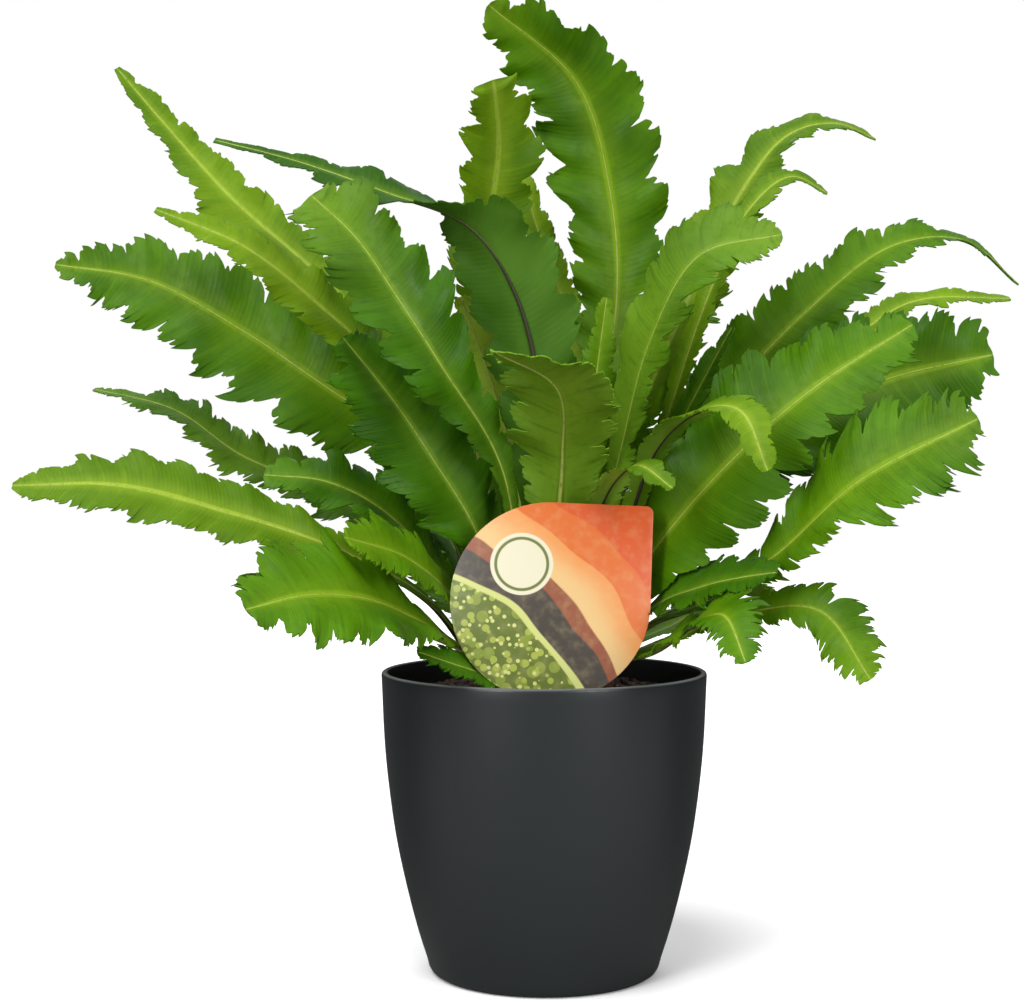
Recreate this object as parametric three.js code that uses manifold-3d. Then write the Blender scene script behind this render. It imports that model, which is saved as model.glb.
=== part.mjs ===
// A potted bird's-nest fern with lobed fronds, in an anthracite cover pot, with a plain plant card.
// Millimetres, +Z up. The origin is the centre of the pot's base, and -Y is the front.
import * as THREE from "three";
import { mergeVertices } from "three/addons/utils/BufferGeometryUtils.js";
import Module from "manifold-3d";

const wasm = await Module();
wasm.setup();

// ---- Driving dimensions ----
const GAP = 0.3;               // running gap between pieces that touch
const POT_HEIGHT = 130;
const POT_WALL = 2.8;
const POT_FLOOR = 4;
const POT_SIDES = 32;
const POT_FOOT_RADIUS = 46;    // flat ring and floor that the pot stands on
// outer wall, [radius, height], from the foot's rounding to just under the lip
const POT_OUTSIDE = [
  [49, 1.2], [51, 6.5], [55.1, 19.5], [60.1, 39], [64.2, 58.6],
  [67, 78], [69, 97.6], [70.5, 128.6],
];
const SOIL_EDGE = 119.5;       // height of the soil at the wall
const SOIL_MOUND = 123.5;      // height of the soil round the crown
const CROWN_RADIUS = 31;
const CROWN_SEAT = 113;        // underside of the crown, in its dish in the soil
const CROWN_RISE = 25;
const CROWN_SIDES = 16;
const SOCKET_DEPTH = 9;
const SOCKET_SIDES = 6;
const STIPE_HALF_WIDTH = 2.1;
const BLADE_THICKNESS = 0.8;
const RIB_AT_FOOT = 2.2;       // how far the midrib stands out below the blade
const RIB_AT_TIP = 0.3;
const STALK_STEPS = 3;         // sections along the stalk
const BLADE_STEPS = 22;        // sections along the lobed blade, two for each lobe
const STALK_SHARE = 0.2;       // share of a frond's length that is stalk
const TIP_HALF_WIDTH = 0.9;
const BLUNT = 0.65;            // how a blade narrows to its tip, where its row gives no taper
const CARD = {
  radius: 41.2, thickness: 0.8, lean: 12, turn: -2.5,
  x: 1.8, y: -46, z: 163.5, stakeWidth: 12, stakeLength: 34,
};
const CARD_CORNER = 3;         // rounding of the card's one square corner

const COLOURS = {
  pot: { color: 0x2f3536, roughness: 0.5, metalness: 0 },
  soil: { color: 0x2b1d14, roughness: 1, metalness: 0 },
  crown: { color: 0x3a2a18, roughness: 0.95, metalness: 0 },
  card: { color: 0xe8a060, roughness: 0.45, metalness: 0 },
  bright: { color: 0x4c8a12, roughness: 0.4, metalness: 0 },
  deep: { color: 0x2c6412, roughness: 0.35, metalness: 0 },
  light: { color: 0x74a02a, roughness: 0.45, metalness: 0 },
};

// ---- The fronds ----
// ring and azimuth: where the stalk leaves the crown (mm from the axis, degrees from +X).
// way: the midrib's points out to the tip. facing: compass direction that the frond leans to.
// width: greatest width, over the lobes. widest: its share of the length.
// roll: turn about the midrib, in degrees, at evenly spaced places from the foot to the tip.
// taper: over 1 for a blade that ends in a long thin tip. depth: how deep its lobes are, to 1.
// swell: over 1 for a blade that stays narrow above its stalk.
const FRONDS = [
  { name: "tall", green: "bright", ring: 8, azimuth: 60, facing: 90, width: 52, widest: 0.74,
    roll: [0, 0, 5],
    way: [[21, 15, 230], [33, 30, 293], [30, 30, 342], [15, 20, 388], [-24, 0, 418]] },
  { name: "folded_top", green: "light", ring: 8, azimuth: 130, facing: 95, width: 38, widest: 0.85,
    taper: 0.25, roll: [0, 10, 30],
    way: [[-14, 15, 221], [-25, 22, 275], [-25, 20, 319], [-20, 8, 358], [-22, -8, 384]] },
  { name: "dark_rib", green: "deep", ring: 8, azimuth: 255, facing: 200, width: 46, widest: 0.46,
    taper: 1.7, roll: [95, 90, 75, -45, -60],
    way: [[-1, -16, 236], [-12, -22, 290], [-32, -28, 319], [-66, -26, 333], [-103, -18, 347],
      [-141, -10, 358]] },
  { name: "glossy_left", green: "deep", ring: 20, azimuth: 250, facing: 205, width: 48, widest: 0.78,
    taper: 0.45, swell: 1.7, roll: [-30, -85, -75],
    way: [[-18, -31, 217], [-43, -52, 260], [-61, -58, 288], [-77, -58, 311], [-95, -56, 328]] },
  { name: "blue_left", green: "deep", ring: 20, azimuth: 216, facing: 210, width: 50, widest: 0.62,
    roll: [-40, -85, -80],
    way: [[-28, -20, 188], [-46, -30, 220], [-64, -36, 247], [-84, -38, 272]] },
  { name: "big_left", green: "bright", ring: 14, azimuth: 182, facing: 180, width: 56, widest: 0.62,
    taper: 0.8, roll: [-30, -75, -70],
    way: [[-54, 0, 226], [-90, 0, 250], [-130, 5, 277], [-173, 10, 300], [-214, 10, 307]] },
  { name: "upper_left", green: "light", ring: 14, azimuth: 146, facing: 165, width: 35, widest: 0.6,
    taper: 0.9, roll: [0, -40, -50],
    way: [[-51, 25, 250], [-97, 40, 301], [-142, 50, 341], [-174, 60, 376], [-198, 65, 404]] },
  { name: "light_left", green: "light", ring: 20, azimuth: 198, facing: 192, width: 28, widest: 0.62,
    taper: 0.9, depth: 0.6, roll: [0, -60, -60],
    way: [[-61, -20, 250], [-98, -26, 289], [-127, -28, 311], [-163, -28, 326]] },
  { name: "ragged_left", green: "deep", ring: 20, azimuth: 160, facing: 165, width: 26, widest: 0.6,
    roll: [0, -50, -20],
    way: [[-64, 20, 186], [-100, 30, 208], [-137, 35, 224], [-167, 40, 244], [-206, 50, 254]] },
  { name: "olive_left", green: "deep", ring: 20, azimuth: 180, facing: 190, width: 30, widest: 0.7,
    roll: [0, -50, -50],
    way: [[-49, -8, 179], [-69, -16, 200], [-92, -20, 212], [-119, -20, 215]] },
  { name: "long_left", green: "light", ring: 27, azimuth: 202, facing: 200, width: 34, widest: 0.7,
    taper: 0.8, swell: 1.3, depth: 0.5, roll: [0, -55, -50],
    way: [[-48, -27, 162], [-88, -50, 186], [-131, -62, 201], [-170, -68, 211], [-213, -68, 211]] },
  { name: "broad_low_left", green: "bright", ring: 27, azimuth: 232, facing: 228, width: 56, widest: 0.66,
    roll: [0, -45, -45],
    way: [[-38, -35, 146], [-55, -58, 158], [-71, -84, 167], [-91, -106, 170], [-112, -126, 166]] },
  { name: "mid_low_left", green: "bright", ring: 27, azimuth: 219, facing: 225, width: 32, widest: 0.7,
    roll: [0, -50, -50],
    way: [[-36, -28, 160], [-56, -54, 181], [-79, -84, 191]] },
  { name: "small_dark_left", green: "deep", ring: 27, azimuth: 248, facing: 225, width: 20, widest: 0.6,
    roll: [0, -40, -40],
    way: [[-20, -42, 132], [-34, -54, 137], [-52, -62, 144]] },
  { name: "front_centre", green: "deep", ring: 20, azimuth: 275, facing: 268, width: 47, widest: 0.66,
    roll: [0, 0, -20],
    way: [[5, -25, 190], [7, -36, 222], [4, -66, 250], [-20, -92, 263]] },
  { name: "upper_right", green: "light", ring: 8, azimuth: 15, facing: 15, width: 34, widest: 0.62,
    taper: 0.9, roll: [0, 45, 30],
    way: [[35, 9, 223], [60, 17, 283], [81, 24, 328], [109, 28, 366], [131, 30, 372], [149, 30, 365]] },
  { name: "fork_right", green: "light", ring: 14, azimuth: 2, facing: 5, width: 16, widest: 0.86,
    roll: [0, 40, 30],
    way: [[46, 0, 217], [71, 3, 291], [90, 6, 331], [108, 9, 345], [124, 9, 338]] },
  { name: "mid_right", green: "deep", ring: 14, azimuth: 322, facing: 335, width: 44, widest: 0.74,
    roll: [0, 50, 60],
    way: [[32, -20, 224], [44, -36, 272], [63, -44, 305], [96, -50, 313]] },
  { name: "crested_right", green: "bright", ring: 14, azimuth: 28, facing: 12, width: 46, widest: 0.5,
    taper: 1.4, roll: [0, 55, 30],
    way: [[61, 24, 208], [84, 36, 250], [121, 40, 290], [160, 42, 319], [192, 42, 321], [216, 40, 301]] },
  { name: "pale_right", green: "light", ring: 20, azimuth: 19, facing: 8, width: 18, widest: 0.8,
    roll: [0, 40, 30],
    way: [[68, 4, 203], [112, 8, 250], [160, 16, 290], [207, 20, 293]] },
  { name: "bright_right", green: "bright", ring: 20, azimuth: 0, facing: 352, width: 58, widest: 0.78,
    roll: [0, 70, 85],
    way: [[67, -8, 200], [104, -14, 232], [141, -18, 254], [190, -18, 266]] },
  { name: "broad_right", green: "bright", ring: 20, azimuth: 326, facing: 325, width: 62, widest: 0.46,
    roll: [60, 80, 80],
    way: [[47, -27, 185], [79, -46, 224], [108, -54, 250], [148, -56, 276]] },
  { name: "finger_right", green: "bright", ring: 27, azimuth: 325, facing: 322, width: 52, widest: 0.79,
    swell: 1.6, roll: [0, 60, 70],
    way: [[44, -28, 153], [67, -42, 163], [93, -64, 184], [122, -82, 213], [165, -96, 237]] },
  { name: "low_right", green: "deep", ring: 27, azimuth: 310, facing: 305, width: 32, widest: 0.6,
    roll: [0, 40, 40],
    way: [[45, -35, 160], [61, -54, 169], [76, -68, 174], [90, -80, 177]] },
  { name: "claw_right", green: "bright", ring: 27, azimuth: 296, facing: 298, width: 33, widest: 0.57,
    roll: [0, 30, 30],
    way: [[43, -43, 142], [58, -70, 155], [68, -96, 161], [74, -112, 145]] },
  { name: "drooping_right", green: "bright", ring: 27, azimuth: 338, facing: 330, width: 24, widest: 0.84,
    swell: 1.8, roll: [0, 60, 60],
    way: [[57, -30, 148], [85, -54, 160], [109, -70, 161], [127, -80, 135]] },
  { name: "curl_right", green: "light", ring: 20, azimuth: 311, facing: 300, width: 20, widest: 0.75,
    roll: [0, 0, 40],
    way: [[34, -24, 192], [46, -39, 226], [62, -62, 241], [76, -80, 240], [85, -90, 217]] },
  { name: "curl_centre", green: "light", ring: 20, azimuth: 294, facing: 290, width: 16, widest: 0.7,
    roll: [0, 0, 30],
    way: [[19, -27, 175], [25, -35, 206], [37, -57, 219], [50, -69, 210]] },
  { name: "thin_back", green: "light", ring: 14, azimuth: 90, facing: 90, width: 16, widest: 0.7,
    roll: [0, 0, 20],
    way: [[12, 40, 240], [12, 55, 286], [1, 60, 319], [-12, 60, 362]] },
  { name: "pale_inner", green: "light", ring: 8, azimuth: 195, facing: 250, width: 22, widest: 0.78,
    roll: [0, 0, 20],
    way: [[-10, -5, 205], [-21, -4, 250], [-36, -2, 292]] },
  { name: "inner_right_a", green: "deep", ring: 8, azimuth: 325, facing: 330, width: 26, widest: 0.7,
    roll: [60, 50, 40],
    way: [[22, 0, 210], [36, 2, 255], [56, 3, 300]] },
  { name: "inner_right_b", green: "bright", ring: 20, azimuth: 344, facing: 350, width: 18, widest: 0.7,
    roll: [40, 40, 40],
    way: [[41, -9, 200], [60, -12, 240], [80, -15, 278]] },
  { name: "inner_right_c", green: "bright", ring: 14, azimuth: 296, facing: 100, width: 16, widest: 0.7,
    roll: [0, 0, 10],
    way: [[16, -15, 200], [21, -17, 250], [26, -21, 290]] },
  { name: "back_high_left", green: "bright", ring: 14, azimuth: 118, facing: 120, width: 44, widest: 0.7,
    roll: [0, 0, 0],
    way: [[-32, 50, 230], [-52, 80, 280], [-72, 110, 305]] },
  { name: "back_high_right", green: "bright", ring: 14, azimuth: 58, facing: 58, width: 44, widest: 0.7,
    roll: [0, 0, 0],
    way: [[38, 50, 230], [58, 80, 280], [84, 112, 300]] },
  { name: "back_mid_left", green: "deep", ring: 20, azimuth: 130, facing: 128, width: 46, widest: 0.68,
    roll: [0, 0, 0],
    way: [[-46, 56, 190], [-70, 92, 232], [-92, 128, 256]] },
  { name: "back_mid", green: "deep", ring: 20, azimuth: 95, facing: 95, width: 46, widest: 0.68,
    roll: [0, 0, 0],
    way: [[-5, 70, 190], [-12, 115, 230], [-18, 165, 242]] },
  { name: "back_mid_right", green: "deep", ring: 20, azimuth: 48, facing: 45, width: 46, widest: 0.68,
    roll: [0, 0, 0],
    way: [[60, 55, 185], [95, 92, 222], [140, 125, 240]] },
  { name: "back_low_left", green: "bright", ring: 27, azimuth: 115, facing: 118, width: 42, widest: 0.68,
    roll: [0, 0, 0],
    way: [[-38, 72, 152], [-62, 118, 174], [-85, 158, 167]] },
  { name: "back_low_right", green: "bright", ring: 27, azimuth: 72, facing: 70, width: 42, widest: 0.68,
    roll: [0, 0, 0],
    way: [[28, 78, 152], [46, 122, 174], [62, 165, 167]] },
  { name: "side_low_left", green: "bright", ring: 27, azimuth: 155, facing: 152, width: 36, widest: 0.68,
    roll: [0, 0, 0],
    way: [[-70, 40, 150], [-108, 62, 168], [-145, 80, 162]] },
  { name: "side_low_right", green: "bright", ring: 27, azimuth: 32, facing: 36, width: 38, widest: 0.68,
    roll: [0, 0, 0],
    way: [[62, 52, 146], [90, 84, 160], [114, 114, 150]] },
];

// ---- Small helpers ----
const radians = (degrees) => (degrees * Math.PI) / 180;
const mix = (a, b, t) => a + (b - a) * t;
const clamp = (value) => Math.min(1, Math.max(0, value));
const smooth = (t) => t * t * (3 - 2 * t);

// A small seeded random number maker, one for each frond, so that every run is alike.
function randomMaker(seed) {
  let state = seed >>> 0;
  return () => {
    state = (Math.imul(state, 1664525) + 1013904223) >>> 0;
    return state / 4294967296;
  };
}

// A closed three.js geometry as a solid that can be joined and cut.
function toSolid(geometry) {
  const bare = geometry.clone();
  bare.deleteAttribute("normal");
  bare.deleteAttribute("uv");
  const merged = mergeVertices(bare, 1e-4);
  const index = Array.from(merged.index.array);
  const triVerts = [];
  for (let i = 0; i < index.length; i += 3) {
    const [a, b, c] = index.slice(i, i + 3);
    if (a !== b && b !== c && c !== a) triVerts.push(a, b, c);
  }
  return new wasm.Manifold(new wasm.Mesh({
    numProp: 3,
    vertProperties: Float32Array.from(merged.attributes.position.array),
    triVerts: Uint32Array.from(triVerts),
  }));
}

function toGeometry(solid) {
  const mesh = solid.getMesh();
  const geometry = new THREE.BufferGeometry();
  geometry.setAttribute("position", new THREE.BufferAttribute(Float32Array.from(mesh.vertProperties), 3));
  geometry.setIndex(Array.from(mesh.triVerts));
  return geometry;
}

// A solid turned about +Z from a profile of [radius, height] points, bottom to top up the outside.
function turned(profile, sides) {
  const points = profile.map(([radius, height]) => new THREE.Vector2(radius, height));
  return new THREE.LatheGeometry(points, sides).rotateX(Math.PI / 2);
}

function named(name, geometry, finish) {
  const mesh = new THREE.Mesh(geometry, new THREE.MeshStandardMaterial(COLOURS[finish]));
  mesh.name = name;
  return mesh;
}

// ---- Pot, soil and crown ----
// Radius of the pot's cavity at a height, less an extra gap.
function cavityRadius(height, gap = 0) {
  let last = POT_OUTSIDE[0];
  for (const point of POT_OUTSIDE) {
    if (height <= point[1]) {
      return mix(last[0], point[0], (height - last[1]) / (point[1] - last[1] || 1)) - POT_WALL - gap;
    }
    last = point;
  }
  return last[0] - POT_WALL - gap;
}

function potGeometry() {
  const lip = POT_OUTSIDE[POT_OUTSIDE.length - 1][0];
  const inside = POT_OUTSIDE.map(([, height]) => height)
    .filter((height) => height > POT_FLOOR + 2)
    .reverse()
    .map((height) => [cavityRadius(height), height]);
  return turned([
    [0, 0], [POT_FOOT_RADIUS, 0], ...POT_OUTSIDE,
    [lip - 0.8, POT_HEIGHT], [lip - POT_WALL + 0.5, POT_HEIGHT],
    ...inside, [POT_FOOT_RADIUS, POT_FLOOR], [0, POT_FLOOR],
  ], POT_SIDES);
}

// Height of the crown's domed top at a distance from its axis.
function crownTop(radius) {
  return CROWN_SEAT + CROWN_RISE * Math.sqrt(Math.max(0, 1 - (radius / (CROWN_RADIUS + 6)) ** 2));
}

function soilSolid() {
  const foot = POT_FLOOR + GAP;
  const wall = [39, 58.6, 78, 97.6].map((height) => [cavityRadius(height, GAP), height]);
  const dish = CROWN_RADIUS + GAP;
  return toSolid(turned([
    [0, foot], [POT_FOOT_RADIUS - GAP, foot], [cavityRadius(19.5, GAP), 19.5], ...wall,
    [cavityRadius(SOIL_EDGE, GAP), SOIL_EDGE], [cavityRadius(SOIL_EDGE, GAP) - 10, SOIL_EDGE + 1.5],
    [dish, SOIL_MOUND], [dish - 4, CROWN_SEAT - GAP], [0, CROWN_SEAT - GAP],
  ], POT_SIDES));
}

function crownSolid() {
  const rings = [24, 12];
  return toSolid(turned([
    [0, CROWN_SEAT], [CROWN_RADIUS - 4, CROWN_SEAT], [CROWN_RADIUS, SOIL_MOUND + 1],
    ...rings.map((radius) => [radius, crownTop(radius)]), [0, crownTop(0)],
  ], CROWN_SIDES));
}

// ---- One frond ----
// The stalk's own line where it stands in its socket: its foot, its collar and its direction.
function stalkRoot({ ring, azimuth }) {
  const lean = radians(6 + ring * 1.3);
  const turn = radians(azimuth);
  const direction = new THREE.Vector3(
    Math.cos(turn) * Math.sin(lean), Math.sin(turn) * Math.sin(lean), Math.cos(lean));
  const surface = new THREE.Vector3(ring * Math.cos(turn), ring * Math.sin(turn), crownTop(ring));
  return {
    direction,
    surface,
    foot: surface.clone().addScaledVector(direction, -SOCKET_DEPTH + GAP),
    collar: surface.clone().addScaledVector(direction, 6),
    socketFloor: surface.clone().addScaledVector(direction, -SOCKET_DEPTH),
  };
}

function midrib(frond) {
  const { foot, surface, collar } = stalkRoot(frond);
  const way = frond.way.map((point) => new THREE.Vector3(...point));
  return new THREE.CatmullRomCurve3([foot, surface, collar, ...way], false, "centripetal");
}

// The blade's sideways and upper-face directions at a share of the length.
function bladeFrame(frond, curve, share) {
  const along = curve.getTangentAt(share);
  const facing = radians(frond.facing);
  const across = new THREE.Vector3(-Math.sin(facing), Math.cos(facing), 0);
  across.addScaledVector(along, -across.dot(along)).normalize();
  const upper = new THREE.Vector3().crossVectors(along, across);
  const step = Math.min(share * (frond.roll.length - 1), frond.roll.length - 1.001);
  const place = Math.floor(step);
  const turn = radians(mix(frond.roll[place], frond.roll[place + 1], smooth(step - place)));
  const side = across.clone().multiplyScalar(Math.cos(turn)).addScaledVector(upper, Math.sin(turn));
  return { along, side, face: new THREE.Vector3().crossVectors(along, side) };
}

// Half the blade's width, without its lobes, at a share of the length.
function halfWidth(frond, share) {
  const full = frond.width / 2;
  if (share < frond.widest) {
    const step = clamp((share - 0.06) / (frond.widest - 0.06));
    const rise = smooth(step ** (frond.swell ?? 1));
    return mix(STIPE_HALF_WIDTH, full, rise);
  }
  const fall = (share - frond.widest) / (1 - frond.widest);
  return mix(TIP_HALF_WIDTH, full, (1 - fall ** 1.7) ** (frond.taper ?? BLUNT));
}

// The shares of the length at which the frond has a section: few on the stalk, two to a lobe.
function sectionShares(length) {
  const collar = (SOCKET_DEPTH + 2) / length;
  const shares = [0, collar];
  for (let i = 1; i < STALK_STEPS; i += 1) shares.push(mix(collar, STALK_SHARE, i / (STALK_STEPS - 1)));
  for (let i = 1; i <= BLADE_STEPS; i += 1) shares.push(mix(STALK_SHARE, 1, i / BLADE_STEPS));
  return shares;
}

function frondGeometry(frond, number) {
  const random = randomMaker(number * 7919 + 17);
  const curve = midrib(frond);
  const length = curve.getLength();
  const pitch = (length * (1 - STALK_SHARE)) / BLADE_STEPS;
  const wave = 0.05 + 0.06 * random();
  const phase = random() * Math.PI * 2;
  const vertices = [];
  const put = (point, face, lift) => {
    vertices.push(point.x + face.x * lift, point.y + face.y * lift, point.z + face.z * lift);
  };
  const shares = sectionShares(length);
  shares.forEach((share, section) => {
    const { along, side, face } = bladeFrame(frond, curve, share);
    const centre = curve.getPointAt(share);
    const blade = section - STALK_STEPS;
    const lobed = smooth(clamp((share - STALK_SHARE) / 0.2)) * (share < 0.99 ? 1 : 0);
    const edges = [-1, 1].map((hand) => {
      const isTip = (blade + (hand > 0 ? 1 : 0)) % 2 === 0;
      const reach = isTip ? mix(0.9, 1.14, random()) : mix(0.55, 0.78, random());
      const lean = (isTip ? mix(0.25, 0.7, random()) : 0) * pitch * lobed;
      const half = halfWidth(frond, share) * mix(1, reach, lobed * (frond.depth ?? 1));
      const fold = 0.12 + wave * Math.sin(phase + hand + blade * 1.1);
      return centre.clone().addScaledVector(side, hand * half)
        .addScaledVector(along, lean)
        .addScaledVector(face, half * fold * lobed);
    });
    const rib = mix(RIB_AT_FOOT, RIB_AT_TIP, smooth(clamp(share * 1.4)));
    const skin = BLADE_THICKNESS / 2;
    put(edges[0], face, skin);
    put(centre, face, skin);
    put(edges[1], face, skin);
    put(edges[0], face, -skin);
    put(centre, face, -skin - rib);
    put(edges[1], face, -skin);
  });
  return skinOver(vertices, shares.length);
}

// Faces over a row of six-point sections, split alike above and below, with both ends closed.
function skinOver(vertices, sections) {
  const index = [];
  const quad = (a, b, c, d) => index.push(a, c, b, a, d, c);
  for (let i = 0; i < sections - 1; i += 1) {
    const a = i * 6;
    const b = a + 6;
    quad(a, a + 1, b + 1, b);
    quad(a + 1, a + 2, b + 2, b + 1);
    index.push(a + 3, a + 4, b + 4, a + 3, b + 4, b + 3);
    index.push(a + 4, a + 5, b + 5, a + 4, b + 5, b + 4);
    quad(a + 3, a, b, b + 3);
    quad(a + 2, a + 5, b + 5, b + 2);
  }
  const end = (sections - 1) * 6;
  quad(1, 0, 3, 4);
  quad(2, 1, 4, 5);
  quad(end, end + 1, end + 4, end + 3);
  quad(end + 1, end + 2, end + 5, end + 4);
  const geometry = new THREE.BufferGeometry();
  geometry.setAttribute("position", new THREE.Float32BufferAttribute(vertices, 3));
  geometry.setIndex(index);
  return geometry;
}

// The plain hole that a stalk stands in.
function socketSolid(frond) {
  const { direction, socketFloor } = stalkRoot(frond);
  const radius = STIPE_HALF_WIDTH + GAP + 0.8;
  const reach = SOCKET_DEPTH + 12;
  const socket = new THREE.CylinderGeometry(radius, radius, reach, SOCKET_SIDES)
    .translate(0, reach / 2, 0);
  const turn = new THREE.Quaternion().setFromUnitVectors(new THREE.Vector3(0, 1, 0), direction);
  socket.applyQuaternion(turn);
  socket.translate(socketFloor.x, socketFloor.y, socketFloor.z);
  return toSolid(socket);
}

// ---- The plant card ----
// A round card with one square corner, and its stake, drawn flat with the front towards +Z.
function cardOutline(grow = 0) {
  const { radius, stakeWidth, stakeLength } = CARD;
  const round = radius + grow;
  const half = stakeWidth / 2 + grow;
  const dip = Math.asin(half / round);
  const outline = new THREE.Shape();
  outline.moveTo(half, -radius - stakeLength - grow);
  outline.lineTo(half, -round * Math.cos(dip));
  outline.absarc(0, 0, round, -Math.PI / 2 + dip, 0, false);
  outline.lineTo(round, round - CARD_CORNER);
  outline.absarc(round - CARD_CORNER, round - CARD_CORNER, CARD_CORNER, 0, Math.PI / 2, false);
  outline.absarc(0, 0, round, Math.PI / 2, Math.PI * 1.5 - dip, false);
  outline.lineTo(-half, -radius - stakeLength - grow);
  outline.closePath();
  return outline;
}

function cardGeometry(grow = 0) {
  const depth = CARD.thickness + 2 * grow;
  const settings = { depth, bevelEnabled: false, curveSegments: 10 };
  const card = new THREE.ExtrudeGeometry(cardOutline(grow), settings);
  return card.translate(0, 0, -depth / 2)
    .rotateZ(radians(CARD.turn))
    .rotateX(radians(90 - CARD.lean))
    .translate(CARD.x, CARD.y, CARD.z);
}

// ---- The whole object ----
const fern = new THREE.Group();
const soil = soilSolid().subtract(toSolid(cardGeometry(GAP)));
let crown = crownSolid();
for (const frond of FRONDS) crown = crown.subtract(socketSolid(frond));
fern.add(named("pot", potGeometry(), "pot"));
fern.add(named("soil", toGeometry(soil), "soil"));
fern.add(named("crown", toGeometry(crown), "crown"));
fern.add(named("label", cardGeometry(), "card"));
FRONDS.forEach((frond, place) => {
  fern.add(named(`frond_${frond.name}`, frondGeometry(frond, place + 1), frond.green));
});

export default fern;
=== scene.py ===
"""A potted bird's-nest fern with lobed fronds, in an anthracite cover pot, with a plant card.

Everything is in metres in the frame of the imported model, +Z up, and -Y is the front.
Sizes that repeat the model's own are kept in millimetres and degrees, as it has them, and are
turned into metres where a mesh is laid out. Each sub-assembly is a class that builds its pieces,
dresses them, and says which of the model's nodes they stand for.
"""

from __future__ import annotations

import bisect
import logging
import math
import random
from collections.abc import Callable, Iterator, Sequence
from contextlib import contextmanager
from dataclasses import dataclass, field
from enum import Enum

import bpy
from mathutils import Matrix, Vector, noise

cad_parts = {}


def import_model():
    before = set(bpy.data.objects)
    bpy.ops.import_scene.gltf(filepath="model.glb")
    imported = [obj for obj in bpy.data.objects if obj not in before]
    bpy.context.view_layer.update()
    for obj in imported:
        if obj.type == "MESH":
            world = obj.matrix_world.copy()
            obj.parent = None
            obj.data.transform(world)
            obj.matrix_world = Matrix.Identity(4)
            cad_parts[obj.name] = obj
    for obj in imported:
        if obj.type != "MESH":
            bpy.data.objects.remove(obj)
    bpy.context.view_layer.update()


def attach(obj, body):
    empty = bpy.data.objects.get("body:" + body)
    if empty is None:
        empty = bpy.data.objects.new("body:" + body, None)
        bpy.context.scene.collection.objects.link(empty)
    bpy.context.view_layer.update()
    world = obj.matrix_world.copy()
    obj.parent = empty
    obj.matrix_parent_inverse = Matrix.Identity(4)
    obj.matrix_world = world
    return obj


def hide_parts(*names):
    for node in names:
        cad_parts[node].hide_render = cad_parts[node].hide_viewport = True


LOG = logging.getLogger("fern")
MM = 0.001
BODY = "root"
WHITE = (1.0, 1.0, 1.0, 1.0)
EDGES = (-1, 1)  # the two edges of a blade
Pair = tuple[float, float]
Point = tuple[float, float, float]
Colour = tuple[float, float, float]
Piece = bpy.types.Object
Material = bpy.types.Material
Socket = bpy.types.NodeSocket
Placer = Callable[[float, float], tuple[Vector, Pair]]


# ---------------------------------------------------------------- numbers and colours


def mix(a: float, b: float, t: float) -> float:
    """The value a share t of the way from a to b."""
    return a + (b - a) * t


def clamp(value: float) -> float:
    """The value, held between 0 and 1."""
    return min(1.0, max(0.0, value))


def smooth(t: float) -> float:
    """An eased share, level at 0 and at 1."""
    return t * t * (3.0 - 2.0 * t)


def srgb(red: int, green: int, blue: int) -> Colour:
    """A screen colour of 0 to 255 as the linear colour that a shader takes.

    Args:
        red: From 0 to 255.
        green: From 0 to 255.
        blue: From 0 to 255.

    Returns:
        The linear colour.
    """

    def linear(value: int) -> float:
        """One channel as a linear value."""
        part = value / 255.0
        return part / 12.92 if part <= 0.04045 else ((part + 0.055) / 1.055) ** 2.4

    return linear(red), linear(green), linear(blue)


class SeedStream:
    """The model's own small random number maker, so that a blade here has the model's lobes."""

    FACTOR = 1664525
    STEP = 1013904223
    SPAN = 2**32

    def __init__(self, seed: int) -> None:
        """Starts the stream at a seed."""
        self._state = seed % self.SPAN

    def draw(self) -> float:
        """The next number from 0 to 1."""
        self._state = (self._state * self.FACTOR + self.STEP) % self.SPAN
        return self._state / self.SPAN


# ---------------------------------------------------------------- mesh work, as at a bench


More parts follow.
